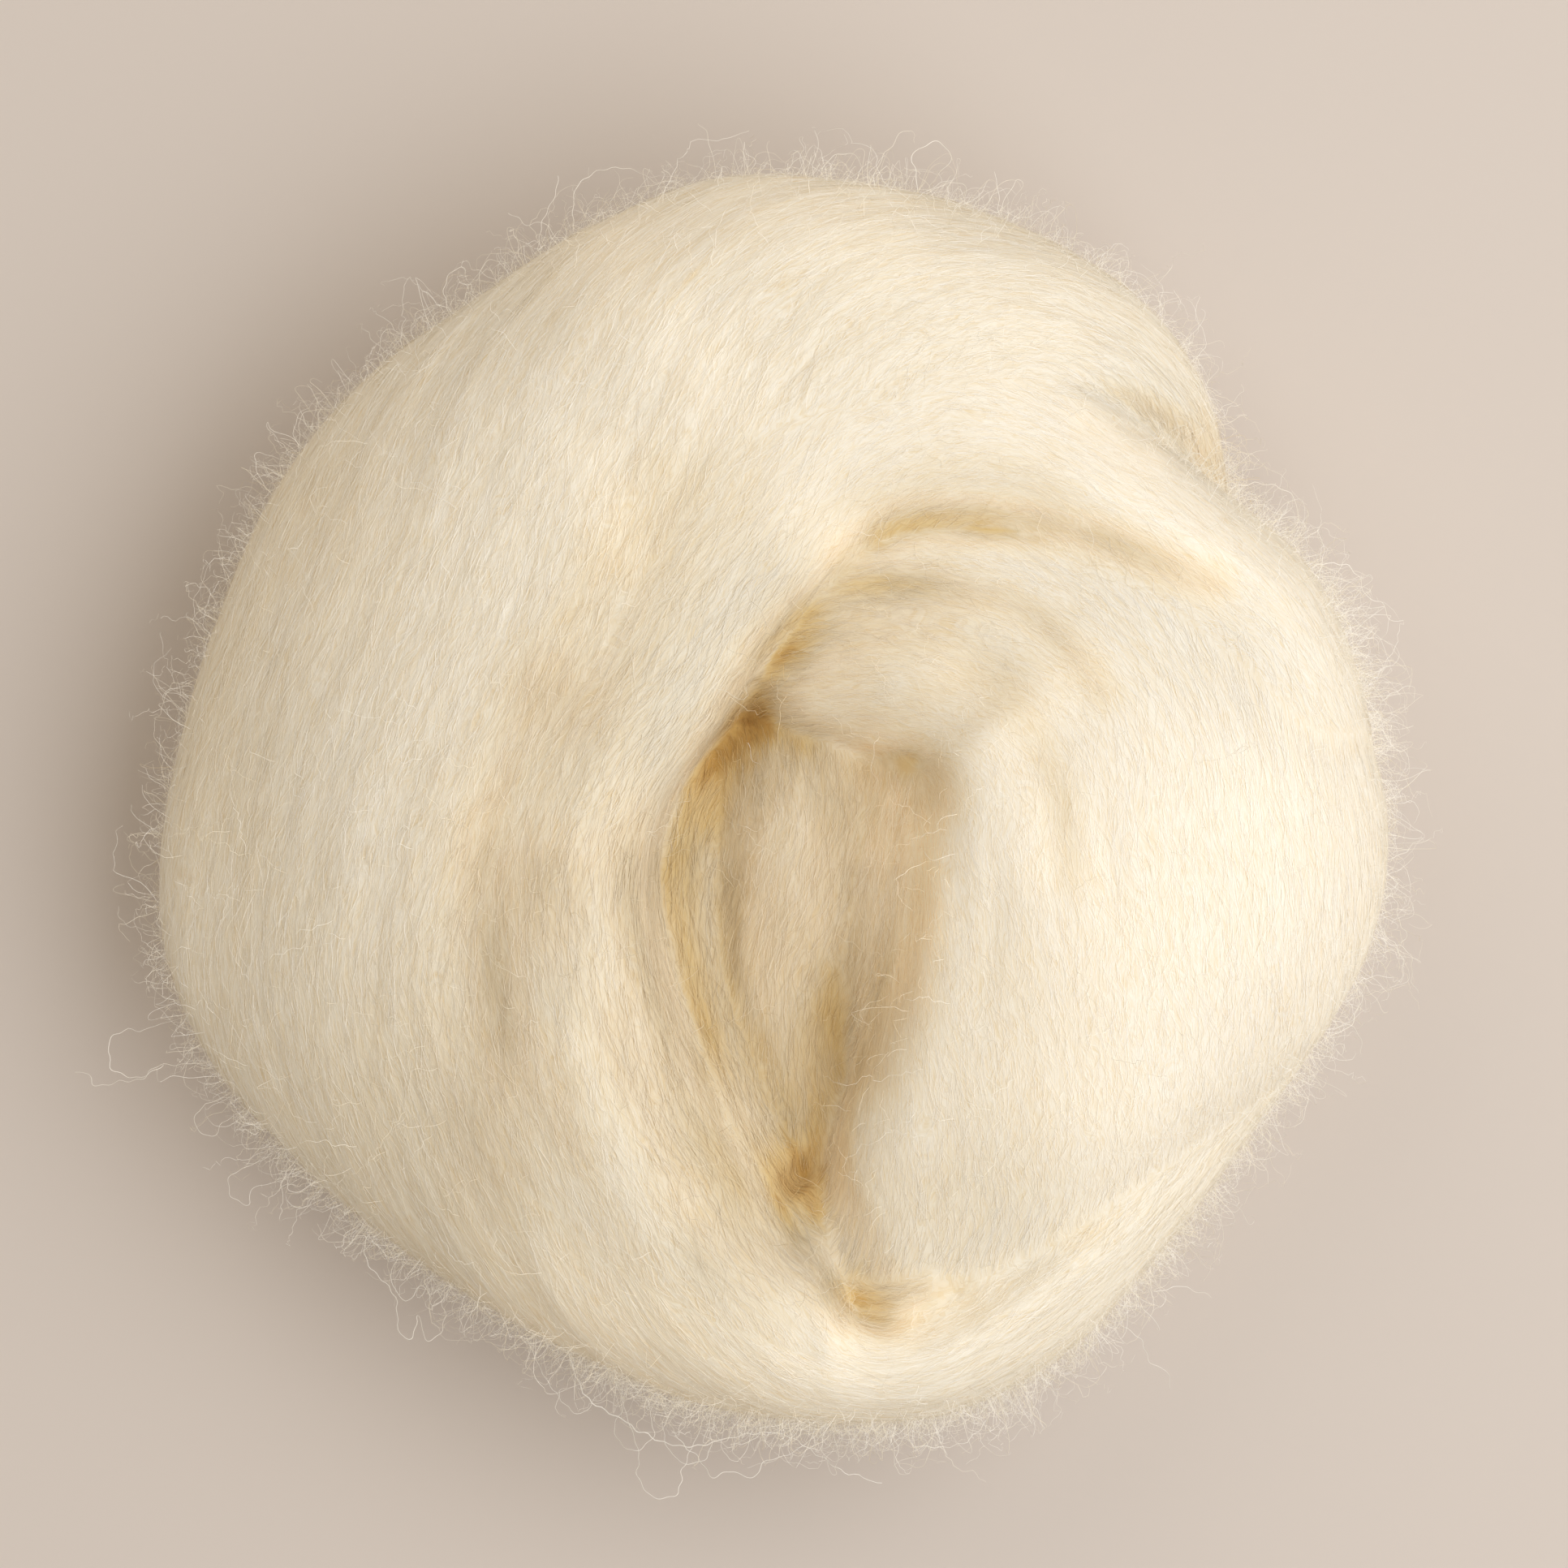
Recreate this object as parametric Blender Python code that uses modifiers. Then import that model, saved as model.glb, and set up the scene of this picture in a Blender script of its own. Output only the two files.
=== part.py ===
"""A nest of combed wool roving: one soft strand, coiled round and over itself and laid on a table.

Every wrap of the strand is a lofted roll whose sections stand in a short table, in millimetres, with +X
to the right, +Y away and +Z up. The wraps lie into each other as loose wool does, so a voxel remesh
felts them into one solid, which is then smoothed, thinned and cut level where it rests.
"""

import math

import bmesh
import bpy
import numpy as np
from mathutils import Matrix, Vector

MM = 0.001

# Driving sizes, in millimetres.
SECTION_STEPS = 7          # points lofted from one corner of a section to the next
ROW_STEPS = 7              # sections lofted from one table row to the next
FOOT_HEIGHT = 12.0         # where the underside of an upper wrap begins
FOOT_INSET = 12.0          # how far in from the rim it begins
TUCK_HEIGHT = 6.0          # how deep the inner edge of a wrap is tucked
TUCK_INSET = 5.0           # how far that edge is drawn back under its lip
GRAIN = 1.6                # voxel of the felted solid

# The last wrap, outer lock: from under the right side, round the front, over the left and the back, to
# where it dives under the right side again. Plan of the widest line and of the inner edge, then heights.
OUTER_LOCK = (
    # rim x, rim y, edge x, edge y, rim z, shoulder z, crest z, edge z
    (68.0, -20.0, 56.0, -19.0, 12.0, 17.0, 19.0, 17.0),
    (67.5, -31.0, 55.0, -27.0, 19.0, 26.0, 28.0, 26.0),
    (60.0, -41.5, 49.0, -36.5, 21.0, 29.0, 32.0, 29.0),
    (48.5, -56.0, 39.5, -49.5, 23.0, 32.0, 36.5, 31.5),
    (36.0, -69.0, 28.5, -57.5, 24.5, 34.5, 39.0, 32.0),
    (20.0, -76.5, 16.5, -64.0, 27.0, 37.5, 41.0, 32.0),
    (5.0, -77.5, 5.5, -62.5, 28.5, 39.5, 42.0, 34.0),
    (-9.0, -75.0, -3.0, -58.0, 29.0, 40.0, 42.8, 41.0),
    (-24.0, -69.0, -10.0, -53.0, 28.0, 39.5, 43.0, 43.0),
    (-40.0, -60.0, -19.0, -45.0, 25.5, 37.5, 43.5, 44.0),
    (-57.0, -47.0, -26.0, -36.5, 24.0, 35.5, 43.5, 45.0),
    (-69.5, -33.0, -30.0, -29.0, 24.0, 35.3, 44.0, 45.0),
    (-75.5, -20.0, -31.0, -20.0, 24.0, 35.2, 44.5, 45.5),
    (-76.5, -8.0, -28.5, -10.5, 24.5, 35.8, 45.0, 46.0),
    (-74.0, 7.0, -24.5, 1.0, 25.0, 37.5, 46.0, 47.0),
    (-69.0, 23.0, -18.5, 12.0, 25.5, 39.5, 47.5, 48.0),
    (-62.0, 38.5, -11.5, 22.5, 26.0, 41.5, 49.0, 48.5),
    (-51.0, 52.0, -3.5, 33.0, 26.5, 43.5, 50.0, 48.5),
    (-36.0, 63.0, 5.0, 41.0, 27.0, 45.0, 50.5, 49.0),
    (-20.0, 72.5, 13.0, 45.5, 26.5, 45.0, 50.5, 49.5),
    (-6.0, 77.5, 20.0, 46.0, 26.0, 44.5, 50.0, 49.0),
    (12.0, 76.5, 28.0, 45.0, 25.0, 43.0, 48.5, 47.5),
    (29.5, 72.0, 36.0, 42.0, 24.0, 40.0, 45.0, 42.0),
    (43.5, 64.5, 42.0, 38.0, 23.0, 36.5, 39.0, 34.5),
    (52.5, 54.0, 46.0, 33.0, 22.0, 31.5, 31.5, 27.0),
    (56.5, 43.5, 48.0, 28.0, 19.0, 25.0, 25.5, 22.0),
    (57.5, 34.0, 49.0, 22.0, 15.0, 20.0, 21.0, 19.0),
)
OUTER_SHOULDER_AT, OUTER_CREST_AT = 0.26, 0.72

# The last wrap, inner lock: the ridge round the well, which crosses to the right side over the lock above.
INNER_LOCK = (
    # rim x, rim y, edge x, edge y, rim z, shoulder z, crest z, edge z
    (6.0, -77.0, 11.5, -72.0, 18.0, 27.0, 31.0, 29.0),
    (-3.0, -73.0, 9.0, -66.0, 27.0, 37.5, 41.5, 40.5),
    (-12.0, -68.0, 6.5, -59.5, 31.0, 41.0, 44.5, 42.0),
    (-22.0, -61.5, 1.0, -52.5, 35.0, 43.0, 45.5, 40.0),
    (-31.5, -52.5, -3.0, -45.5, 36.5, 44.5, 46.5, 39.5),
    (-40.0, -41.5, -7.5, -38.5, 38.0, 45.5, 47.5, 40.0),
    (-44.5, -29.5, -11.5, -29.5, 38.5, 46.0, 48.5, 41.0),
    (-44.5, -16.5, -15.0, -19.5, 39.0, 46.5, 49.5, 43.0),
    (-41.0, -3.5, -16.5, -8.5, 40.0, 47.0, 50.0, 43.5),
    (-36.0, 8.5, -13.5, 1.5, 41.0, 48.0, 50.5, 43.5),
    (-29.5, 21.0, -6.5, 10.5, 43.0, 49.0, 51.0, 44.0),
    (-22.0, 34.0, -1.5, 19.0, 44.0, 49.8, 51.5, 44.5),
    (-12.5, 46.5, 5.5, 27.5, 45.0, 50.3, 52.0, 45.5),
    (-0.5, 56.5, 12.0, 33.5, 45.5, 50.3, 51.5, 45.5),
    (13.0, 59.5, 20.5, 35.0, 45.0, 49.8, 51.0, 46.0),
    (26.0, 56.0, 29.0, 34.5, 43.0, 49.3, 50.5, 46.0),
    (38.0, 49.5, 37.0, 31.0, 38.0, 48.0, 50.5, 46.0),
    (48.5, 43.5, 45.0, 26.5, 35.5, 46.5, 49.5, 45.5),
    (58.0, 36.5, 52.5, 21.5, 33.0, 44.5, 48.0, 45.0),
    (66.5, 29.0, 59.0, 15.5, 30.0, 41.5, 45.5, 43.5),
    (72.0, 18.0, 64.0, 8.0, 28.0, 38.0, 41.5, 40.0),
    (75.0, 7.0, 67.0, -1.0, 24.0, 31.0, 33.0, 31.0),
)
INNER_SHOULDER_AT, INNER_CREST_AT = 0.30, 0.66

# The wrap before it: out from under the ridge at the back of the well, down the right side, and under
# itself at the front. Five points across it: rim, shoulder, crest, slope and lip.
FIRST_WRAP = (
    # rim x, y, z            shoulder x, y, z       crest x, y, z          slope x, y, z          lip x, y, z
    ((-14.0, 32.0, 30.0), (-13.0, 27.0, 33.0), (-12.0, 22.0, 31.0), (-11.0, 15.0, 26.0), (-9.0, 9.0, 21.0)),
    ((-4.0, 36.0, 33.0), (-3.5, 30.0, 38.0), (-4.0, 23.0, 36.0), (-5.0, 15.5, 30.5), (-4.5, 10.0, 24.0)),
    ((6.0, 38.0, 35.0), (6.0, 33.0, 41.0), (4.0, 25.5, 41.0), (0.5, 16.5, 37.0), (0.0, 9.5, 30.0)),
    ((22.0, 43.0, 36.0), (22.0, 37.5, 43.0), (19.0, 26.5, 43.5), (13.0, 15.0, 41.0), (9.5, 7.0, 34.0)),
    ((37.0, 42.0, 34.0), (36.0, 35.0, 43.5), (31.0, 22.5, 45.5), (23.0, 12.5, 44.5), (17.2, 6.0, 40.5)),
    ((50.0, 36.5, 31.0), (46.5, 28.0, 44.0), (39.0, 16.5, 48.5), (28.0, 9.5, 48.3), (20.8, 5.2, 45.5)),
    ((61.5, 29.0, 28.0), (55.0, 20.0, 43.5), (43.5, 9.5, 50.0), (30.0, 4.5, 50.0), (21.0, 1.8, 47.0)),
    ((70.0, 17.0, 26.0), (61.5, 10.5, 44.0), (45.5, 2.5, 51.0), (29.0, -0.5, 50.6), (20.4, -2.5, 47.0)),
    ((75.5, 3.5, 26.0), (65.0, 0.0, 44.5), (46.0, -4.5, 51.5), (28.0, -6.0, 50.6), (19.8, -7.5, 46.5)),
    ((76.5, -7.0, 26.0), (65.5, -8.5, 44.0), (46.5, -12.0, 51.0), (27.5, -13.5, 50.0), (18.6, -15.0, 45.0)),
    ((74.5, -17.0, 26.0), (64.0, -19.0, 42.5), (46.0, -21.5, 49.5), (26.5, -22.5, 48.5), (16.2, -23.0, 43.0)),
    ((70.5, -26.0, 25.0), (60.5, -28.5, 39.5), (45.0, -31.5, 46.5), (26.0, -32.5, 45.8), (13.0, -32.5, 40.5)),
    ((65.0, -33.5, 23.0), (56.0, -37.0, 36.0), (43.0, -41.0, 43.0), (26.0, -43.0, 42.2), (9.5, -42.5, 37.0)),
    ((59.5, -38.0, 21.5), (51.5, -42.5, 33.0), (41.0, -47.5, 38.5), (26.0, -52.0, 38.0), (8.0, -51.5, 33.8)),
    ((56.0, -41.5, 19.0), (47.5, -47.0, 28.5), (38.0, -52.5, 34.5), (26.5, -57.5, 35.0), (7.5, -59.0, 31.5)),
    ((52.0, -43.5, 15.0), (44.5, -49.5, 20.5), (36.0, -55.5, 26.5), (26.0, -60.5, 27.0), (8.0, -62.0, 25.0)),
    ((49.0, -43.5, 12.0), (43.0, -47.5, 14.0), (35.0, -53.0, 17.0), (25.0, -58.5, 17.0), (8.5, -61.0, 16.0)),
)

# The start of the strand, lying lengthwise at the bottom of the well, and the folds that stand beside it.
HEART = (
    # x, y, z, half width, half height
    (4.0, 22.0, 15.0, 13.0, 9.0),
    (6.5, 10.0, 20.0, 15.5, 11.5),
    (6.8, -2.0, 21.0, 15.5, 12.0),
    (5.0, -12.0, 21.0, 14.0, 11.5),
    (2.8, -20.0, 20.5, 11.5, 10.8),
    (2.2, -30.0, 20.0, 9.5, 10.5),
    (3.2, -39.0, 19.5, 8.5, 10.5),
    (4.0, -47.0, 18.5, 8.0, 10.0),
    (5.0, -57.0, 17.0, 8.0, 9.0),
)
LEDGE = (
    (2.0, 20.0, 15.0, 5.0, 5.0),
    (-4.5, 10.0, 18.0, 5.0, 6.0),
    (-9.5, 0.0, 22.0, 5.0, 7.0),
    (-11.5, -11.0, 23.0, 5.0, 7.0),
    (-11.0, -21.0, 24.0, 5.0, 7.0),
    (-9.0, -31.0, 26.0, 5.5, 7.5),
    (-5.0, -41.0, 28.0, 5.5, 8.0),
    (-0.5, -50.0, 27.0, 5.5, 7.5),
    (5.5, -57.0, 26.0, 5.5, 7.5),
    (12.5, -61.0, 25.5, 5.5, 7.0),
    (19.5, -60.5, 24.0, 5.0, 6.5),
)
KNUCKLE = (
    (18.5, 4.0, 27.0, 5.0, 6.0),
    (17.5, -6.0, 29.0, 6.0, 7.0),
    (16.5, -13.0, 30.0, 6.0, 7.5),
    (15.5, -20.0, 29.0, 6.0, 7.5),
    (14.0, -27.0, 26.0, 5.5, 6.5),
    (11.5, -36.0, 21.0, 5.0, 5.5),
)

# Creases pressed into the upper surface between the locks.
CREASES = (
    # depth, half width, (x, y) along it
    (0.6, 6.0, ((-24.0, 16.0), (-30.0, 5.0), (-33.5, -6.0), (-35.0, -18.0), (-33.0, -30.0), (-27.0, -41.0))),
    (1.5, 3.5, ((60.0, -33.5), (49.0, -42.5), (36.0, -51.0), (24.0, -57.5), (12.0, -61.0))),
    (1.2, 3.0, ((15.8, 33.2), (24.8, 34.2), (35.0, 32.0), (44.8, 28.2), (53.0, 24.5))),
)

# The bottom turn, which the upper wraps lie on: bearing from the centre in degrees, reach of its outer side.
BOTTOM_TURN = (
    (0.0, 73.5), (30.0, 69.0), (60.0, 71.0), (90.0, 74.0), (120.0, 71.5), (150.0, 70.5),
    (180.0, 73.0), (210.0, 73.5), (240.0, 69.0), (270.0, 74.0), (300.0, 73.5), (330.0, 70.5),
)
BOTTOM_HALF_WIDTH = 20.0
BOTTOM_HALF_HEIGHT = 12.0
BOTTOM_CENTRE = 10.5       # height of its centre line
BOTTOM_WANDER = 1.5        # how far that line rises and falls on its way round
BASE_RADIUS = 52.0         # the wool pressed together under the well
BASE_HALF_HEIGHT = 15.0
BASE_CENTRE = 13.5

WOOL_COLOUR = (0.86, 0.78, 0.62, 1.0)
WOOL_ROUGHNESS = 0.95


def through(rows, steps, closed=False):
    """A smooth centripetal curve through the rows, each a list of numbers, with `steps` points to a span."""
    rows = np.array(rows, float)
    count = len(rows)
    made = []
    for i in range(count if closed else count - 1):
        if closed:
            a, b, c, d = (rows[(i + k) % count] for k in (-1, 0, 1, 2))
        else:
            b, c = rows[i], rows[i + 1]
            a = rows[i - 1] if i else 2 * b - c
            d = rows[i + 2] if i + 2 < count else 2 * c - b
        before, here, after = (math.sqrt(max(np.linalg.norm(q - p), 1e-6)) for p, q in ((a, b), (b, c), (c, d)))
        leave = (c - b) + here * ((b - a) / before - (c - a) / (before + here))
        arrive = (c - b) + here * ((d - c) / after - (d - b) / (here + after))
        for step in range(steps):
            t = step / steps
            made.append(
                b + leave * t + (3 * (c - b) - 2 * leave - arrive) * t**2 + (2 * (b - c) + leave + arrive) * t**3
            )
    if not closed:
        made.append(rows[-1])
    return np.array(made)


def press(point):
    """A point of the upper surface, moved down where a crease passes under it."""
    x, y, z = point
    for depth, half_width, path in CREASES:
        path = np.array(path)
        start, run = path[:-1], path[1:] - path[:-1]
        along = (((x, y) - start) * run).sum(axis=1) / (run**2).sum(axis=1)
        nearest = start + run * np.clip(along, 0.0, 1.0)[:, None]
        away = np.linalg.norm((x, y) - nearest, axis=1).min()
        upper = min(1.0, max(0.0, (z - 28.0) / 6.0))
        z -= depth * upper * math.exp(-((away / half_width) ** 2))
    return x, y, z


def loft(name, sections, closed=False):
    """A closed mesh skinned over sections, each a ring of points with the same count."""
    mesh = bmesh.new()
    rings = [[mesh.verts.new(Vector(press(point)) * MM) for point in ring] for ring in sections]
    for i in range(len(rings) if closed else len(rings) - 1):
        here, there = rings[i], rings[(i + 1) % len(rings)]
        for k in range(len(here)):
            after = (k + 1) % len(here)
            mesh.faces.new((here[k], here[after], there[after], there[k]))
    if not closed:
        mesh.faces.new(rings[0])
        mesh.faces.new(rings[-1])
    bmesh.ops.recalc_face_normals(mesh, faces=mesh.faces)
    data = bpy.data.meshes.new(name)
    mesh.to_mesh(data)
    mesh.free()
    return bpy.data.objects.new(name, data)


def lock_points(row, shoulder_at, crest_at):
    """The four points across a lock, from a row of the plan of its two sides and its heights."""
    rim_x, rim_y, edge_x, edge_y, *heights = row
    places = (0.0, shoulder_at, crest_at, 1.0)
    return [
        (rim_x + (edge_x - rim_x) * place, rim_y + (edge_y - rim_y) * place, height)
        for place, height in zip(places, heights)
    ]


def wrap(name, rows):
    """A flattened roll of the strand over rows of points from rim to lip, filled down to the bottom turn."""
    across = len(rows[0])
    sections = []
    for row in through([np.ravel(row) for row in rows], ROW_STEPS):
        points = row.reshape(across, 3)
        rim, lip = points[0], points[-1]
        inward = (lip - rim) * (1.0, 1.0, 0.0)
        width = np.linalg.norm(inward)
        inward /= width
        foot = rim + inward * min(FOOT_INSET, 0.3 * width)
        foot[2] = min(FOOT_HEIGHT, rim[2] - 4.0)
        tuck = lip - inward * min(TUCK_INSET, 0.3 * width)
        tuck[2] = min(TUCK_HEIGHT, lip[2] - 8.0)
        sections.append(through((*points, tuck, foot), SECTION_STEPS, closed=True))
    return loft(name, sections)


def roll(name, path, closed=False):
    """A round roll of the strand: an oval section carried along a centre line."""
    rows = through(path, ROW_STEPS, closed)
    count = len(rows)
    turns = np.linspace(0.0, 2 * math.pi, 24, endpoint=False)
    sections = []
    for i, (x, y, z, half_width, half_height) in enumerate(rows):
        before = rows[(i - 1) % count if closed else max(i - 1, 0)]
        after = rows[(i + 1) % count if closed else min(i + 1, count - 1)]
        across = np.array([after[1] - before[1], before[0] - after[0], 0.0])
        across /= np.linalg.norm(across)
        sections.append([
            np.array([x, y, z + half_height * math.sin(turn)]) + across * half_width * math.cos(turn)
            for turn in turns
        ])
    return loft(name, sections, closed)


def bottom_turn():
    """The ring of strand that the nest stands on, a little wavy in height."""
    path = []
    for bearing, reach in BOTTOM_TURN:
        angle = math.radians(bearing)
        middle = reach - BOTTOM_HALF_WIDTH
        path.append((
            middle * math.cos(angle), middle * math.sin(angle),
            BOTTOM_CENTRE + BOTTOM_WANDER * math.sin(2 * angle + 0.6), BOTTOM_HALF_WIDTH, BOTTOM_HALF_HEIGHT,
        ))
    return roll("bottom_turn", path, closed=True)


def base():
    """The wool pressed together under the well, where the inner turns meet."""
    mesh = bmesh.new()
    bmesh.ops.create_uvsphere(mesh, u_segments=48, v_segments=24, radius=1.0)
    size = Matrix.Diagonal((BASE_RADIUS * MM, BASE_RADIUS * MM, BASE_HALF_HEIGHT * MM, 1.0))
    bmesh.ops.transform(mesh, matrix=Matrix.Translation((0.0, 0.0, BASE_CENTRE * MM)) @ size, verts=mesh.verts)
    data = bpy.data.meshes.new("base")
    mesh.to_mesh(data)
    mesh.free()
    return bpy.data.objects.new("base", data)


def wool():
    """Undyed cream wool, matt all through."""
    material = bpy.data.materials.new("cream_wool")
    material.use_nodes = True
    shader = material.node_tree.nodes["Principled BSDF"]
    shader.inputs["Base Color"].default_value = WOOL_COLOUR
    shader.inputs["Roughness"].default_value = WOOL_ROUGHNESS
    material.diffuse_color = WOOL_COLOUR
    return material


def join(name, pieces, collection):
    """One mesh object holding the faces of all the pieces."""
    mesh = bmesh.new()
    for piece in pieces:
        mesh.from_mesh(piece.data)
        bpy.data.objects.remove(piece)
    data = bpy.data.meshes.new(name)
    mesh.to_mesh(data)
    mesh.free()
    made = bpy.data.objects.new(name, data)
    collection.objects.link(made)
    return made


for startup in list(bpy.data.objects):
    bpy.data.objects.remove(startup)

parts = bpy.data.collections.new("wool_roving_nest")
cutters = bpy.data.collections.new("cutters")
bpy.context.scene.collection.children.link(parts)
bpy.context.scene.collection.children.link(cutters)

nest = join(
    "roving_nest",
    [
        wrap("outer_lock", [lock_points(row, OUTER_SHOULDER_AT, OUTER_CREST_AT) for row in OUTER_LOCK]),
        wrap("inner_lock", [lock_points(row, INNER_SHOULDER_AT, INNER_CREST_AT) for row in INNER_LOCK]),
        wrap("first_wrap", FIRST_WRAP),
        roll("heart", HEART),
        roll("ledge", LEDGE),
        roll("knuckle", KNUCKLE),
        bottom_turn(),
        base(),
    ],
    parts,
)
nest.data.materials.append(wool())

felt = nest.modifiers.new("felt", "REMESH")
felt.mode = "VOXEL"
felt.voxel_size = GRAIN * MM
settle = nest.modifiers.new("settle", "SMOOTH")
settle.factor = 0.5
settle.iterations = 10
thin = nest.modifiers.new("thin", "DECIMATE")
thin.ratio = 0.16

# The table cuts the underside level, which leaves the flat that the nest rests on.
bpy.ops.mesh.primitive_cube_add(size=1.0, location=(0.0, 0.0, -0.05))
table = bpy.context.object
table.name = "rest_cutter"
table.data.transform(Matrix.Diagonal((0.4, 0.4, 0.1, 1.0)))
for owner in list(table.users_collection):
    owner.objects.unlink(table)
cutters.objects.link(table)
table.hide_render = True
table.display_type = "WIRE"
level = nest.modifiers.new("level", "BOOLEAN")
level.operation = "DIFFERENCE"
level.solver = "EXACT"
level.object = table
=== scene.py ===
import math

import bpy
import numpy as np
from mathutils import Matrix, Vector, noise
from mathutils.bvhtree import BVHTree


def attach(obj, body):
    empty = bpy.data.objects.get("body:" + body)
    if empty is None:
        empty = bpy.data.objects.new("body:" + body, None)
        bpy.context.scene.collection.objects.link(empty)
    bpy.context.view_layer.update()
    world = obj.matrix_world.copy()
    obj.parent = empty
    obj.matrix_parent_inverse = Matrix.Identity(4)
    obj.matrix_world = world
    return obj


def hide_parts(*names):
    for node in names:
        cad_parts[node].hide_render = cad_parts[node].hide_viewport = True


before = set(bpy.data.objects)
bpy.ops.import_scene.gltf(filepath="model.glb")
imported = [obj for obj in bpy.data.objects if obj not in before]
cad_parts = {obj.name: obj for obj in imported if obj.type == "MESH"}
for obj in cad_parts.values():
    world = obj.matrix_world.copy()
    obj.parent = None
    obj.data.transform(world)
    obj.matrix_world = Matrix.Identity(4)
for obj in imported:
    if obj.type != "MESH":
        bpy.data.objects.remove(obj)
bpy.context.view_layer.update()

# The table top that the nest lies on is a plain pale sheet. A large soft lamp stands to the right and a
# little in front, a weak one behind, and the camera hangs straight above with a long lens.
scene = bpy.context.scene
scene.view_settings.view_transform = "Standard"
scene.cycles.diffuse_bounces = 6


def principled(name, colour, roughness):
    """A new material and its Principled shader, in one even colour."""
    made = bpy.data.materials.new(name)
    made.use_nodes = True
    shader = made.node_tree.nodes["Principled BSDF"]
    shader.inputs["Base Color"].default_value = (*colour, 1.0)
    shader.inputs["Roughness"].default_value = roughness
    made.diffuse_color = (*colour, 1.0)
    return made, shader


bpy.ops.mesh.primitive_plane_add(size=6.0, location=(0.0, 0.0, -0.0002))
table_top = bpy.context.object
table_top.name = "table_top"
table_top.data.materials.append(principled("pale_sheet", (0.64, 0.575, 0.52), 0.8)[0])

for name, place, aim, length, width, watts, colour in (
    ("key_lamp", (0.68, -0.07, 0.90), (0.0, 0.0, 0.03), 1.9, 1.15, 13.9, (0.963, 0.977, 1.005)),
    ("back_lamp", (-0.50, 0.76, 0.80), (0.0, 0.0, 0.03), 0.90, 0.90, 2.6, (1.0, 0.92, 0.81)),
):
    lamp = bpy.data.lights.new(name, "AREA")
    lamp.shape, lamp.size, lamp.size_y, lamp.energy, lamp.color = "RECTANGLE", length, width, watts, colour
    holder = bpy.data.objects.new(name, lamp)
    holder.location = place
    holder.rotation_euler = (Vector(aim) - Vector(place)).to_track_quat("-Z", "Y").to_euler()
    scene.collection.objects.link(holder)

world = bpy.data.worlds.new("studio")
world.use_nodes = True
world.node_tree.nodes["Background"].inputs["Color"].default_value = (1.0, 0.90, 0.785, 1.0)
world.node_tree.nodes["Background"].inputs["Strength"].default_value = 0.42
scene.world = world

CAMERA_HEIGHT, VIEW_WIDTH, VIEW_LEVEL = 1.10, 0.1932, 0.034
camera = bpy.data.cameras.new("camera")
camera.sensor_width = 36.0
camera.lens = 36.0 * (CAMERA_HEIGHT - VIEW_LEVEL) / VIEW_WIDTH
camera.clip_end = 20.0
watcher = bpy.data.objects.new("camera", camera)
watcher.location = (0.00145, 0.0021, CAMERA_HEIGHT)
scene.collection.objects.link(watcher)
scene.camera = watcher

# The nest is one strand of combed wool, undyed cream, coiled by hand. Every hair runs lengthwise, so the
# wool is streaked along the strand: pale where hairs catch the light, with painted golden shade down between the
# wraps.
MM = 0.001
VOXEL = 0.875                   # all sizes of the wool are in millimetres
MAP_SIDE = 4000.0               # the strand's map is a square sheet of this side
CREAM, GOLD = (0.90, 0.85, 0.73), (0.82, 0.71, 0.51)


class Value:
    """What a node gives out, a number or a vector, so that sums with it can be written as sums."""

    def __init__(self, socket):
        self.socket, self.tree, self.is_vector = socket, socket.id_data, socket.type in ("VECTOR", "RGBA")

    def sum(self, operation, *others):
        return reckon(self.tree, self.is_vector, operation, self, *others)

    def __add__(self, other):
        return self.sum("ADD", other)

    def __sub__(self, other):
        return self.sum("SUBTRACT", other)

    def __rsub__(self, other):
        return reckon(self.tree, self.is_vector, "SUBTRACT", other, self)

    def __mul__(self, number):
        if not self.is_vector:
            return self.sum("MULTIPLY", number)
        scaled = {0: self, "Scale": number}
        return Value(add(self.tree, "ShaderNodeVectorMath", scaled, operation="SCALE").outputs[0])


def add(tree, kind, sockets=None, **settings):
    """A node in a tree, its settings set, its sockets linked or given values."""
    made = tree.nodes.new(kind)
    for key, value in settings.items():
        setattr(made, key, value)
    for key, value in (sockets or {}).items():
        if isinstance(value, Value):
            tree.links.new(value.socket, made.inputs[key])
        else:
            made.inputs[key].default_value = value
    return made


def reckon(tree, is_vector, operation, *values):
    """The result of one sum, on numbers or on vectors."""
    kind = "ShaderNodeVectorMath" if is_vector else "ShaderNodeMath"
    made = add(tree, kind, dict(enumerate(values)), operation=operation)
    return Value(made.outputs["Vector" if is_vector and operation != "LENGTH" else "Value"])


def told(tree, name):
    """A number that the wool's own skin keeps at each point."""
    return Value(add(tree, "ShaderNodeAttribute", attribute_name=name).outputs["Fac"])


def cloud(tree, place, detail, roughness=0.5):
    """A soft noise in space, of size 1."""
    sockets = {"Vector": place, "Scale": 1.0, "Detail": detail, "Roughness": roughness}
    return add(tree, "ShaderNodeTexNoise", sockets).outputs


def joined_up(tree, x, y, z):
    """A place made of three numbers."""
    return Value(add(tree, "ShaderNodeCombineXYZ", {"X": x, "Y": y, "Z": z}).outputs[0])


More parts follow.
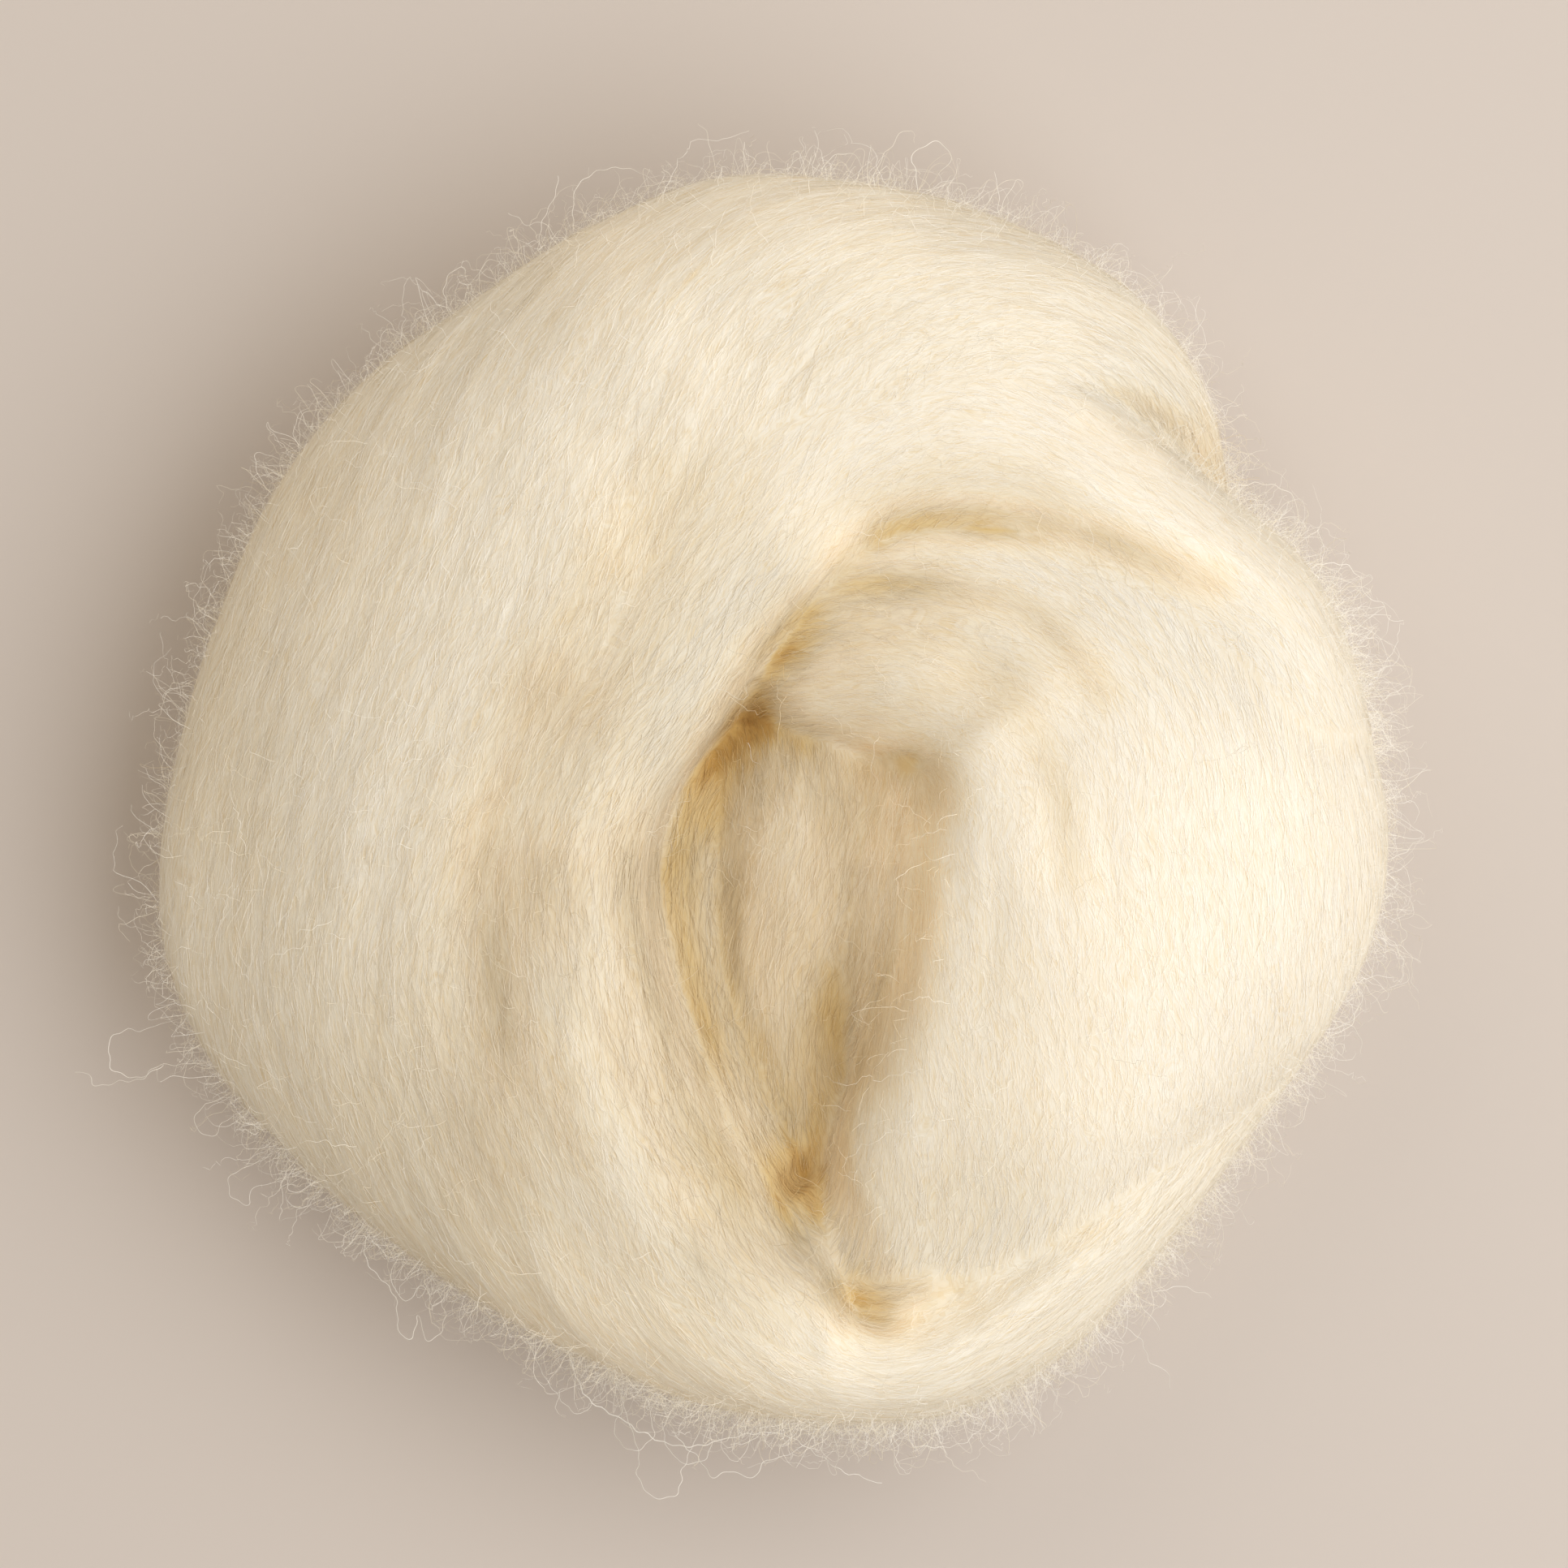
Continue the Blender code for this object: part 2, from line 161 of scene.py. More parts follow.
def with_painted_shade(tree, colour):
    """The colour with painted shade: turned golden and then brown by the painted hollow shade, and darker by the
    painted shade, or paler where that is below nought.
    """
    ramp = add(tree, "ShaderNodeValToRGB", {"Fac": told(tree, "painted_hollow_shade")})
    ramp.color_ramp.elements[0].color = (1.0, 1.0, 1.0, 1.0)
    ramp.color_ramp.elements[1].color = (0.61, 0.415, 0.165, 1.0)
    for place, *shade in (
        (0.15, 0.985, 0.955, 0.89), (0.3, 0.935, 0.875, 0.775), (0.55, 0.80, 0.73, 0.60), (0.8, 0.755, 0.62, 0.375),
    ):
        ramp.color_ramp.elements.new(place).color = (*shade, 1.0)
    tint = {0: 1.0, 6: Value(colour), 7: Value(ramp.outputs["Color"])}
    tint = add(tree, "ShaderNodeMix", tint, data_type="RGBA", blend_type="MULTIPLY").outputs[2]
    return (Value(tint) * (1.0 - told(tree, "painted_light_and_shade"))).socket


def wool_material(name):
    """Combed wool on its own map, along the strand and across it, with painted golden shade where it lies hollow and
    painted light and shade laid over it.
    """
    material, shader = principled(name, CREAM, 0.9)
    tree = material.node_tree
    strand_map = Value(add(tree, "ShaderNodeUVMap", uv_map="strand").outputs["UV"])
    place = add(tree, "ShaderNodeSeparateXYZ", {0: strand_map}).outputs
    along, across = Value(place["X"]) * MAP_SIDE, Value(place["Y"]) * MAP_SIDE

    def streaks(u_scale, v_scale, detail, seed, v):
        """A noise drawn out along the strand."""
        return Value(cloud(tree, joined_up(tree, along * u_scale, v * v_scale, seed), detail, 0.6)["Fac"])

    waved = across + (streaks(0.05, 0.12, 2.0, 9.0, across) - 0.5) * 9.0
    height = streaks(0.30, 4.6, 3.0, 1.0, waved) * 0.30
    for share, *streak in (
        (0.27, 0.38, 3.6, 3.0, 5.0, waved + along * 0.16),
        (0.25, 0.38, 4.0, 3.0, 7.0, waved - along * 0.20),
        (0.18, 0.06, 0.8, 3.0, 11.0, waved),
    ):
        height = height + streaks(*streak) * share
    ramp = add(tree, "ShaderNodeValToRGB", {"Fac": height})
    ramp.color_ramp.elements[0].position, ramp.color_ramp.elements[0].color = 0.40, (*GOLD, 1.0)
    ramp.color_ramp.elements[1].position, ramp.color_ramp.elements[1].color = 0.55, (*CREAM, 1.0)
    # Painted shade and painted light go over the streaked colour here.
    tree.links.new(with_painted_shade(tree, ramp.outputs["Color"]), shader.inputs["Base Color"])
    rough = told(tree, "rough") * 0.5
    bump = add(tree, "ShaderNodeBump", {"Height": height, "Strength": rough, "Distance": 0.5 * MM})
    tree.links.new(bump.outputs["Normal"], shader.inputs["Normal"])
    shader.inputs["Sheen Weight"].default_value = 0.2
    shader.inputs["Sheen Roughness"].default_value = 0.5
    shader.inputs["Sheen Tint"].default_value = (1.0, 0.96, 0.88, 1.0)
    shader.inputs["Specular IOR Level"].default_value = 0.15
    return material


def through(rows, steps, closed=False):
    """A smooth centripetal curve through the rows, each a list of numbers, with `steps` points to a span."""
    rows = np.array(rows, float)
    count = len(rows)
    t = (np.arange(steps) / steps)[:, None]
    made = []
    for i in range(count if closed else count - 1):
        if closed:
            a, b, c, d = (rows[(i + k) % count] for k in (-1, 0, 1, 2))
        else:
            b, c = rows[i], rows[i + 1]
            a = rows[i - 1] if i else 2 * b - c
            d = rows[i + 2] if i + 2 < count else 2 * c - b
        before, here, after = (math.sqrt(max(np.linalg.norm(q - p), 1e-6)) for p, q in ((a, b), (b, c), (c, d)))
        leave = (c - b) + here * ((b - a) / before - (c - a) / (before + here))
        arrive = (c - b) + here * ((d - c) / after - (d - b) / (here + after))
        made.append(b + leave * t + (3 * (c - b) - 2 * leave - arrive) * t**2 + (2 * (b - c) + leave + arrive) * t**3)
    if not closed:
        made.append(rows[-1:])
    return np.concatenate(made)


def away_from(points, path):
    """How far each point is, in plan, from a path of x, y, x, y and so on, and how far along it, up to 1."""
    path = through(np.reshape(path, (-1, 2)), 6)
    away, run = np.full(len(points), 1e9), np.zeros(len(points))
    for i, (start, step) in enumerate(zip(path[:-1], np.diff(path, axis=0))):
        part = np.clip(((points[:, :2] - start) @ step) / (step @ step), 0.0, 1.0)
        here = np.linalg.norm(points[:, :2] - start - part[:, None] * step, axis=1)
        run = np.where(here < away, (i + part) / (len(path) - 1), run)
        away = np.minimum(away, here)
    return away, run


class Strand:
    """A stretch of the strand: a skin of rings of points, with places along and across it in millimetres."""

    def __init__(self, rings, around, drift, closed=False):
        self.points, across = np.array(rings), np.array(around)
        rows, count = self.points.shape[:2]
        crest = self.points[:, np.argmax(self.points[:, :, 2].mean(axis=0))]
        step = np.linalg.norm(np.diff(crest, axis=0), axis=1)
        drift = np.array(drift)
        self.u = np.concatenate([[0.0], np.cumsum(step)])
        self.v = across - np.concatenate([[0.0], np.cumsum(step * (drift[:-1] + drift[1:]) / 2)])[:, None]
        self.length = across[:, -1] - across[:, 0]
        index = np.arange(rows * count).reshape(rows, count)
        if closed:
            self.u = np.append(self.u, self.u[-1] + np.linalg.norm(crest[0] - crest[-1]))
            self.v = np.vstack([self.v, self.v[:1]])
            index = np.vstack([index, index[:1]])
        right = np.roll(index, -1, 1)
        quads = np.stack([index[:-1], right[:-1], right[1:], index[1:]], axis=-1).reshape(-1, 4)
        ring, following = self.points[rows // 2], self.points[rows // 2 + 1]
        outward = ring - ring.mean(axis=0)
        inside_out = (np.cross(np.roll(ring, -1, 0) - ring, following - ring) * outward).sum() < 0
        self.faces = (quads[:, ::-1] if inside_out else quads).tolist()
        if not closed:
            first, last = index[0].tolist(), index[-1].tolist()
            self.faces += [first if inside_out else first[::-1], last[::-1] if inside_out else last]
        self.index, self.count, self.spans = index, count, len(index) - 1
        self.flat = self.points.reshape(-1, 3)
        self.tree = BVHTree.FromPolygons(self.flat.tolist(), self.faces)

    def places(self, spots, faces):
        """The places along and across the strand of points that lie on its faces."""
        faces = np.minimum(np.array(faces), self.spans * self.count - 1)
        row, column = faces // self.count, faces % self.count
        corner = self.flat[self.index[row, column]]
        next_row = self.flat[self.index[row + 1, column]] - corner
        next_column = self.flat[self.index[row, (column + 1) % self.count]] - corner
        offset = np.array(spots) - corner
        ahead = np.clip((offset * next_row).sum(1) / np.maximum((next_row**2).sum(1), 1e-9), 0.0, 1.0)
        aside = np.clip((offset * next_column).sum(1) / np.maximum((next_column**2).sum(1), 1e-9), 0.0, 1.0)
        u = self.u[row] * (1 - ahead) + self.u[row + 1] * ahead
        near = self.v[row, column] * (1 - aside) + self.v[row, column + 1] * aside
        far = self.v[row + 1, column] * (1 - aside) + self.v[row + 1, column + 1] * aside
        return np.stack([u, near * (1 - ahead) + far * ahead], axis=1)


def even_ring(corners, top_corner, count):
    """A closed section through its corners, sparser low down, and the length round it from its crest."""
    fine = through(corners, 14, closed=True)
    ring = np.vstack([fine, fine[:1]])
    length = np.concatenate([[0.0], np.cumsum(np.linalg.norm(np.diff(ring, axis=0), axis=1))])
    places = np.linspace(0.0, length[-1], count + 1)
    points = np.stack([np.interp(places, length, ring[:, axis]) for axis in range(3)], axis=1)
    return points[:-1], places - length[top_corner * 14]


FOOT_HEIGHT, FOOT_INSET, TUCK_HEIGHT, TUCK_INSET = 12.0, 12.0, 6.0, 5.0


def wrap(rows, top_corner, row_steps, count):
    """A flattened roll of the strand over rows of points from rim to lip, each with its drift."""
    rings, around, drift = [], [], []
    for row in through([[*np.ravel(points), lean] for points, lean in rows], row_steps):
        points = row[:-1].reshape(-1, 3)
        rim, lip = points[0], points[-1]
        inward = (lip - rim) * (1.0, 1.0, 0.0)
        width = np.linalg.norm(inward)
        inward /= width
        foot = rim + inward * min(FOOT_INSET, 0.3 * width)
        foot[2] = min(FOOT_HEIGHT, rim[2] - 4.0)
        tuck = lip - inward * min(TUCK_INSET, 0.3 * width)
        tuck[2] = min(TUCK_HEIGHT, lip[2] - 8.0)
        ring, places = even_ring((foot, *points, tuck), top_corner + 1, count)
        rings.append(ring)
        around.append(places)
        drift.append(row[-1])
    return Strand(rings, around, drift)


def roll(path, row_steps, count, closed=False):
    """A round roll of the strand: an oval section carried along a centre line."""
    rows = through(path, row_steps, closed)
    turns = np.linspace(0.0, 2 * math.pi, count + 1)
    rings, around = [], []
    for i, (x, y, z, half_width, half_height) in enumerate(rows):
        before = rows[(i - 1) % len(rows) if closed else max(i - 1, 0)]
        after = rows[(i + 1) % len(rows) if closed else min(i + 1, len(rows) - 1)]
        side = np.array([after[1] - before[1], before[0] - after[0], 0.0])
        side /= np.linalg.norm(side)
        ring = np.array([x, y, z]) - np.cos(turns)[:, None] * half_height * np.array([0.0, 0.0, 1.0])
        ring = ring + np.sin(turns)[:, None] * half_width * side
        rings.append(ring[:-1])
        around.append((turns - math.pi) * (half_width + half_height) / 2)
    return Strand(rings, around, [0.0] * len(rows), closed)


# The last wrap's outer lock: a broad soft band, laid round the front, over the left side and the back,
# and let down under the crossing lock at the right. Its hairs run more up and down than the band does.
OUTER_LOCK = (
    # rim x, rim y, edge x, edge y, rim z, shoulder z, crest z, edge z, drift inward for each mm along
    (68, -20, 56, -19, 12, 17, 19, 17, 0),
    (67.5, -31, 55, -27, 19, 26, 28, 26, 0),
    (60, -41.5, 49, -36.5, 21, 29, 32, 29, 0),
    (48.5, -56, 39.5, -49.5, 23, 32, 36.5, 31.5, 0),
    (36, -69, 28.5, -57.5, 24.5, 34.5, 39, 32, 0),
    (20, -76.5, 16.5, -64, 27, 37.5, 41, 32, 0),
    (5, -77.5, 5.5, -62.5, 28.5, 39.5, 42, 34, 0.35),
    (-9, -75, -3, -58, 29, 40, 42.8, 41, 0.55),
    (-24, -69, -10, -53, 28, 39.5, 43, 43, 0.6),
    (-40, -60, -19, -45, 25.5, 37.5, 43.5, 44, 0.55),
    (-57, -47, -26, -36.5, 24, 35.5, 43.5, 45, 0.45),
    (-69.5, -33, -30, -29, 24, 35.3, 44, 45, 0.25),
    (-75.5, -20, -31, -20, 24, 35.2, 44.5, 45.5, 0.1),
    (-76.5, -8, -28.5, -10.5, 24.5, 35.8, 45, 46, 0),
    (-74, 7, -24.5, 1, 25, 37.5, 46, 47, 0),
    (-69, 23, -18.5, 12, 25.5, 39.5, 47.5, 48, -0.1),
    (-62, 38.5, -11.5, 22.5, 26, 41.5, 49, 48.5, -0.25),
    (-51, 52, -3.5, 33, 26.5, 43.5, 50, 48.5, -0.4),
    (-36, 63, 5, 41, 27, 45, 50.5, 49, -0.5),
    (-20, 72.5, 13, 45.5, 26.5, 45, 50.5, 49.5, -0.55),
    (-6, 77.5, 20, 46, 26, 44.5, 50, 49, -0.6),
    (12, 76.5, 28, 45, 25, 43, 48.5, 47.5, -0.55),
    (29.5, 72, 36, 42, 24, 40, 45, 42, -0.3),
    (43.5, 64.5, 42, 38, 23, 36.5, 39, 34.5, 0),
    (52.5, 54, 46, 33, 22, 31.5, 31.5, 27, 0),
    (56.5, 43.5, 48, 28, 19, 25, 25.5, 22, 0),
    (57.5, 34, 49, 22, 15, 20, 21, 19, 0),
)


def lock_points(row, shoulder_at, crest_at):
    """The four points across a lock and its drift, from a row of its two sides in plan and its heights."""
    rim_x, rim_y, edge_x, edge_y, *heights, lean = row
    places = (0.0, shoulder_at, crest_at, 1.0)
    points = [
        (rim_x + (edge_x - rim_x) * place, rim_y + (edge_y - rim_y) * place, height)
        for place, height in zip(places, heights)
    ]
    return points, lean


outer_lock = wrap([lock_points(row, 0.26, 0.72) for row in OUTER_LOCK], 2, 12, 110)

# The last wrap's inner lock: the ridge round the well. It comes up beside the front pocket, runs up the
# left of the well, and crosses over the back to the right side, where it lies on the outer lock.
INNER_LOCK = (
    # rim x, rim y, edge x, edge y, rim z, shoulder z, crest z, edge z, drift
    (6, -77, 11.5, -72, 18, 27, 31, 29, 0),
    (-3, -73, 9, -66, 27, 37.5, 41.5, 40.5, 0),
    (-12, -68, 6.5, -59.5, 31, 41, 44.5, 42, 0.1),
    (-22, -61.5, 1, -52.5, 35, 43, 45.5, 40, 0.2),
    (-31.5, -52.5, -3, -45.5, 36.5, 44.5, 46.5, 39.5, 0.2),
    (-40, -41.5, -7.5, -38.5, 38, 45.5, 47.5, 40, 0.15),
    (-44.5, -29.5, -11.5, -29.5, 38.5, 46, 48.5, 41, 0.1),
    (-44.5, -16.5, -15, -19.5, 39, 46.5, 49.5, 43, 0),
    (-41, -3.5, -16.5, -8.5, 40, 47, 50, 43.5, 0),
    (-36, 8.5, -13.5, 1.5, 41, 48, 50.5, 43.5, 0),
    (-29.5, 21, -6.5, 10.5, 43, 49, 51, 44, 0),
    (-22, 34, -1.5, 19, 44, 49.8, 51.5, 44.5, 0),
    (-12.5, 46.5, 5.5, 27.5, 45, 50.3, 52, 45.5, -0.1),
    (-0.5, 56.5, 12, 33.5, 45.5, 50.3, 51.5, 45.5, -0.25),
    (13, 59.5, 20.5, 35, 45, 49.8, 51, 46, -0.3),
    (26, 56, 29, 34.5, 43, 49.3, 50.5, 46, -0.15),
    (38, 49.5, 37, 31, 38, 48, 50.5, 46, 0),
    (48.5, 43.5, 45, 26.5, 35.5, 46.5, 49.5, 45.5, 0),
    (58, 36.5, 52.5, 21.5, 33, 44.5, 48, 45, 0),
    (66.5, 29, 59, 15.5, 30, 41.5, 45.5, 43.5, 0),
    (72, 18, 64, 8, 28, 38, 41.5, 40, 0),
    (75, 7, 67, -1, 24, 31, 33, 31, 0),
)
inner_lock = wrap([lock_points(row, 0.30, 0.66) for row in INNER_LOCK], 2, 12, 90)

# The wrap before it: out from under the ridge at the back of the well, where its edge hangs over the well
# as a rounded fold, sharply round to the right, and down the right side until it is tucked in at the front.
FIRST_WRAP = (
    # rim x, y, z            shoulder x, y, z       crest x, y, z          slope x, y, z          lip x, y, z, drift
    (((-14, 32, 30), (-13, 27, 33), (-12, 22, 31), (-11, 15, 26), (-9, 9, 21)), 0),
    (((-4, 36, 33), (-3.5, 30, 38), (-4, 23, 36), (-5, 15.5, 30.5), (-4.5, 10, 24)), 0),
    (((6, 38, 35), (6, 33, 41), (4, 25.5, 41), (0.5, 16.5, 37), (0, 9.5, 30)), 0),
    (((22, 43, 36), (22, 37.5, 43), (19, 26.5, 43.5), (13, 15, 41), (9.5, 7, 34)), 0),
    (((37, 42, 34), (36, 35, 43.5), (31, 22.5, 45.5), (23, 12.5, 44.5), (17.2, 6, 40.5)), 0),
    (((50, 36.5, 31), (46.5, 28, 44), (39, 16.5, 48.5), (28, 9.5, 48.3), (20.8, 5.2, 45.5)), 0),
    (((61.5, 29, 28), (55, 20, 43.5), (43.5, 9.5, 50), (30, 4.5, 50), (21, 1.8, 47)), 0),
    (((70, 17, 26), (61.5, 10.5, 44), (45.5, 2.5, 51), (29, -0.5, 50.6), (20.4, -2.5, 47)), 0),
    (((75.5, 3.5, 26), (65, 0, 44.5), (46, -4.5, 51.5), (28, -6, 50.6), (19.8, -7.5, 46.5)), -0.1),
    (((76.5, -7, 26), (65.5, -8.5, 44), (46.5, -12, 51), (27.5, -13.5, 50), (18.6, -15, 45)), -0.15),
    (((74.5, -17, 26), (64, -19, 42.5), (46, -21.5, 49.5), (26.5, -22.5, 48.5), (16.2, -23, 43)), -0.2),
    (((70.5, -26, 25), (60.5, -28.5, 39.5), (45, -31.5, 46.5), (26, -32.5, 45.8), (13, -32.5, 40.5)), -0.25),
    (((65, -33.5, 23), (56, -37, 36), (43, -41, 43), (26, -43, 42.2), (9.5, -42.5, 37)), -0.25),
    (((59.5, -38, 21.5), (51.5, -42.5, 33), (41, -47.5, 38.5), (26, -52, 38), (8, -51.5, 33.8)), -0.2),
    (((56, -41.5, 19), (47.5, -47, 28.5), (38, -52.5, 34.5), (26.5, -57.5, 35), (7.5, -59, 31.5)), -0.1),
    (((52, -43.5, 15), (44.5, -49.5, 20.5), (36, -55.5, 26.5), (26, -60.5, 27), (8, -62, 25)), 0),
    (((49, -43.5, 12), (43, -47.5, 14), (35, -53, 17), (25, -58.5, 17), (8.5, -61, 16)), 0),
)
first_wrap = wrap(FIRST_WRAP, 2, 12, 110)

# The strand's start lies lengthwise in the bottom of the well, with a low fold standing on each side of
# it, and the bottom turn and the wool pressed together under the well carry everything above.
HEART = (
    # x, y, z, half width, half height
    (4, 22, 15, 13, 9),
    (6.5, 10, 20, 15.5, 11.5),
    (6.8, -2, 21, 15.5, 12),
    (5, -12, 21, 14, 11.5),
    (2.8, -20, 20.5, 11.5, 10.8),
    (2.2, -30, 20, 9.5, 10.5),
    (3.2, -39, 19.5, 8.5, 10.5),
    (4, -47, 18.5, 8, 10),
    (5, -57, 17, 8, 9),
)
LEDGE = (
    (2, 20, 15, 5, 5),
    (-4.5, 10, 18, 5, 6),
    (-9.5, 0, 22, 5, 7),
    (-11.5, -11, 23, 5, 7),
    (-11, -21, 24, 5, 7),
    (-9, -31, 26, 5.5, 7.5),
    (-5, -41, 28, 5.5, 8),
    (-0.5, -50, 27, 5.5, 7.5),
    (5.5, -57, 26, 5.5, 7.5),
    (12.5, -61, 27, 5.5, 7),
    (20.5, -59.5, 29.5, 5, 6.5),
)
KNUCKLE = (
    (18.5, 4, 32, 5, 7),
    (17.5, -6, 31, 6, 7),
    (16.5, -13, 30, 6, 7.5),
    (15.5, -20, 29, 6, 7.5),
    (14, -27, 26, 5.5, 6.5),
    (11.5, -36, 21, 5, 5.5),
)
BOTTOM_TURN = (
    (0, 73.5), (30, 69), (60, 71), (90, 74), (120, 71.5), (150, 70.5),
    (180, 73), (210, 73.5), (240, 69), (270, 74), (300, 73.5), (330, 70.5),
)
BASE = (
    (-51, 0, 11, 4, 3),
    (-38, 0, 11, 34, 10),
    (0, 0, 11, 51, 11),
    (38, 0, 11, 34, 10),
    (51, 0, 11, 4, 3),
)
strands = [
    outer_lock, inner_lock, first_wrap, roll(HEART, 10, 60), roll(LEDGE, 8, 36), roll(KNUCKLE, 8, 36),
    roll([
        ((reach - 20.0) * math.cos(math.radians(bearing)), (reach - 20.0) * math.sin(math.radians(bearing)),
         10.5 + 1.5 * math.sin(2 * math.radians(bearing) + 0.6), 20.0, 12.0)
        for bearing, reach in BOTTOM_TURN
    ], 20, 60, closed=True),
    roll(BASE, 12, 60),
]

# All of it is one body of wool: the stretches press into each other, so the strand's folds have soft
# valleys between them, and hairs that part leave creases. The whole is one skin with the strand's map.
points, faces = [], []
for strand in strands:
    faces += [[corner + len(points) for corner in face] for face in strand.faces]
    points += strand.flat.tolist()
mesh = bpy.data.meshes.new("pressed_together")
mesh.from_pydata(points, [], faces)
mesh.update()
pressed = bpy.data.objects.new("pressed_together", mesh)
scene.collection.objects.link(pressed)
merge = pressed.modifiers.new("merge", "REMESH")
merge.mode, merge.voxel_size = "VOXEL", VOXEL
body_mesh = bpy.data.meshes.new_from_object(pressed.evaluated_get(bpy.context.evaluated_depsgraph_get()))
bpy.data.objects.remove(pressed)
bpy.data.meshes.remove(mesh)

count = len(body_mesh.vertices)
points = np.empty(count * 3)
body_mesh.vertices.foreach_get("co", points)
points = points.reshape(-1, 3)
edges = np.empty(len(body_mesh.edges) * 2, int)
body_mesh.edges.foreach_get("vertices", edges)
here, there = edges.reshape(-1, 2).T
corners = np.empty(len(body_mesh.loops), int)
body_mesh.loops.foreach_get("vertex_index", corners)
quads = corners.reshape(-1, 4)
joined = np.bincount(edges, minlength=count)


def spread(values, times, amount):
    """Values at the points of the skin, each drawn `amount` of the way to the mean of its neighbours."""
    values = values.reshape(count, -1).copy()
    amount = np.broadcast_to(amount, (count,))[:, None]
    for _ in range(times):
        near = np.stack([
            np.bincount(here, column[there], count) + np.bincount(there, column[here], count) for column in values.T
        ], axis=1) / joined[:, None]
        values += amount * (near - values)
    return values


def rising(values, start, over):
    """0 up to a start, then rising to 1 over a distance."""
    return np.clip((values - start) / over, 0.0, 1.0)


def beside(path, half_width, power=2):
    """How near each point of the skin is to a path, from 1 on it to 0 beyond its half width."""
    return np.exp(-((away_from(points, path)[0] / half_width) ** power))


points = spread(points, 8, 0.5)
# Valleys that are filled with loose hair: half width, rounds of filling, then x, y, x, y and so on.
for half_width, rounds, *path in (
    (10, 110, 8, -74, -6, -69, -22, -59, -34, -45, -41, -30, -41, -14, -36, 3, -28, 20, -17, 37, -4, 51, 10, 58.5, 24,
     58, 34, 54),
    (5, 50, 10.5, -4, 9.8, -10, 9.2, -17),
    (3.2, 40, 17.5, 4, 18.8, 0, 19, -6),
    (3, 45, 11.5, 2.5, 12.5, -1, 12, -5),
    (5, 20, 10, -17, 8, -26, 6, -34, 4.5, -42),
    (4, 36, 20.8, 0, 20.5, -8, 20, -12, 17.5, -21, 14, -31, 10, -42, 8, -52),
    (8, 80, -16.5, -8, -16, -20, -13, -29, -8.5, -38, -2, -47, 3, -53),
    (4.5, 130, 10, 31.5, 18, 33.5, 27, 34, 36, 31.6, 45, 28, 53, 24, 60.5, 18.5, 66, 10),
    (3.5, 10, -6, 13, -4, 16, 0, 21, 5, 26),
    (4.5, 30, 62, -31, 55, -37, 45, -46.5, 35, -54.5, 25, -58.5, 18, -61),
    (5, 25, -4, -48.5, 2, -52, 8, -54.5),
    (4.5, 70, 15.5, -62, 19.5, -61.5, 25, -59),
    (5, 30, 6, 28, 0.4, 21.5, -4.5, 14.5, -8.5, 8, -11.5, 1),
):
    points = spread(points, rounds, 0.6 * rising(points[:, 2], 14.0, 6.0) * beside(path, half_width, 4))
# Creases where hairs part: depth, half width, how long each end fades, then x, y, x, y and so on. A ridge
# has a depth below nought.
for depth, half_width, fade, *path in (
    (0.5, 6, 0.3, -24, 16, -30, 5, -33.5, -6, -35, -18, -33, -30, -27, -41, -18, -50),
    (0.6, 2, 0.4, 5, 26, 12, 27.6, 20, 27, 28, 23.8, 34, 18.5, 37.5, 12, 39, 4),
    (-0.5, 1.8, 0.4, 22, 5.5, 26, 9, 30.5, 10.5, 35, 9),
    (0.4, 1.8, 0.5, 28.5, 8, 33, 2, 34.5, -7, 34, -18),
    (0.3, 1.8, 0.5, 37, 5, 40, -3, 41, -12, 40, -24),
    (0.3, 1.4, 0.5, 25.5, 0, 27, -9, 26.5, -20, 24, -33),
    (0.35, 3, 0.4, -9, 47, -15.5, 34, -21, 22, -25, 10),
    (2.4, 2, 0.3, 33, 52.5, 39, 50.6, 46.5, 46.8, 53.5, 42, 60, 36.5, 66, 31),
    (-0.8, 1.8, 0.3, 3, -56, 5, -58.5, 6.3, -62, 7, -67.5, 7.2, -73),
    (2.2, 2.6, 0.2, 1.9, -45, 3.2, -46.4, 4.4, -47.8),
    (2.1, 2.8, 0.2, -2.4, 15.5, -4.6, 9.5),
    (0.5, 2, 0.3, 5.5, -60.2, 9, -61.8, 12.5, -62.3, 15.5, -62),
    (1.1, 4.5, 0.3, -8, -50, -1, -53.5, 4.5, -57),
):
    run = away_from(points, path)[1]
    ends = rising(np.minimum(run, 1.0 - run), 0.0, fade)
    points[:, 2] -= depth * rising(points[:, 2], 20.0, 6.0) * ends**2 * (3.0 - 2.0 * ends) * beside(path, half_width)
points = spread(points, 2, 0.4)

# The map: every face lies on the stretch of the strand whose skin it is outside of by least, and each stretch
# has a lane of the map to itself. What is deep inside a stretch's end is no part of its skin.
# A face whose corners jump to far parts of the map takes no room there, so that hairs find one place only.
MAP_LANE, MAP_EDGE, DEEP, FAR_APART = 450.0, 300.0, 5.0, 12.0
middles = points[quads].mean(axis=1)
outside = np.full((len(strands), len(middles)), 1e9)
for k, strand in enumerate(strands):
    low, high = strand.flat.min(axis=0) - 4.0, strand.flat.max(axis=0) + 4.0
    for i in np.flatnonzero(((middles > low) & (middles < high)).all(axis=1)):
        spot = Vector(middles[i])
        hit, normal, _, away = strand.tree.find_nearest(spot)
        outside[k, i] = away if away > DEEP else math.copysign(away, (spot - hit).dot(normal))
owner = outside.argmin(axis=0)
strand_map = np.zeros((len(quads), 4, 2))
lengthwise = np.zeros((count, 3))
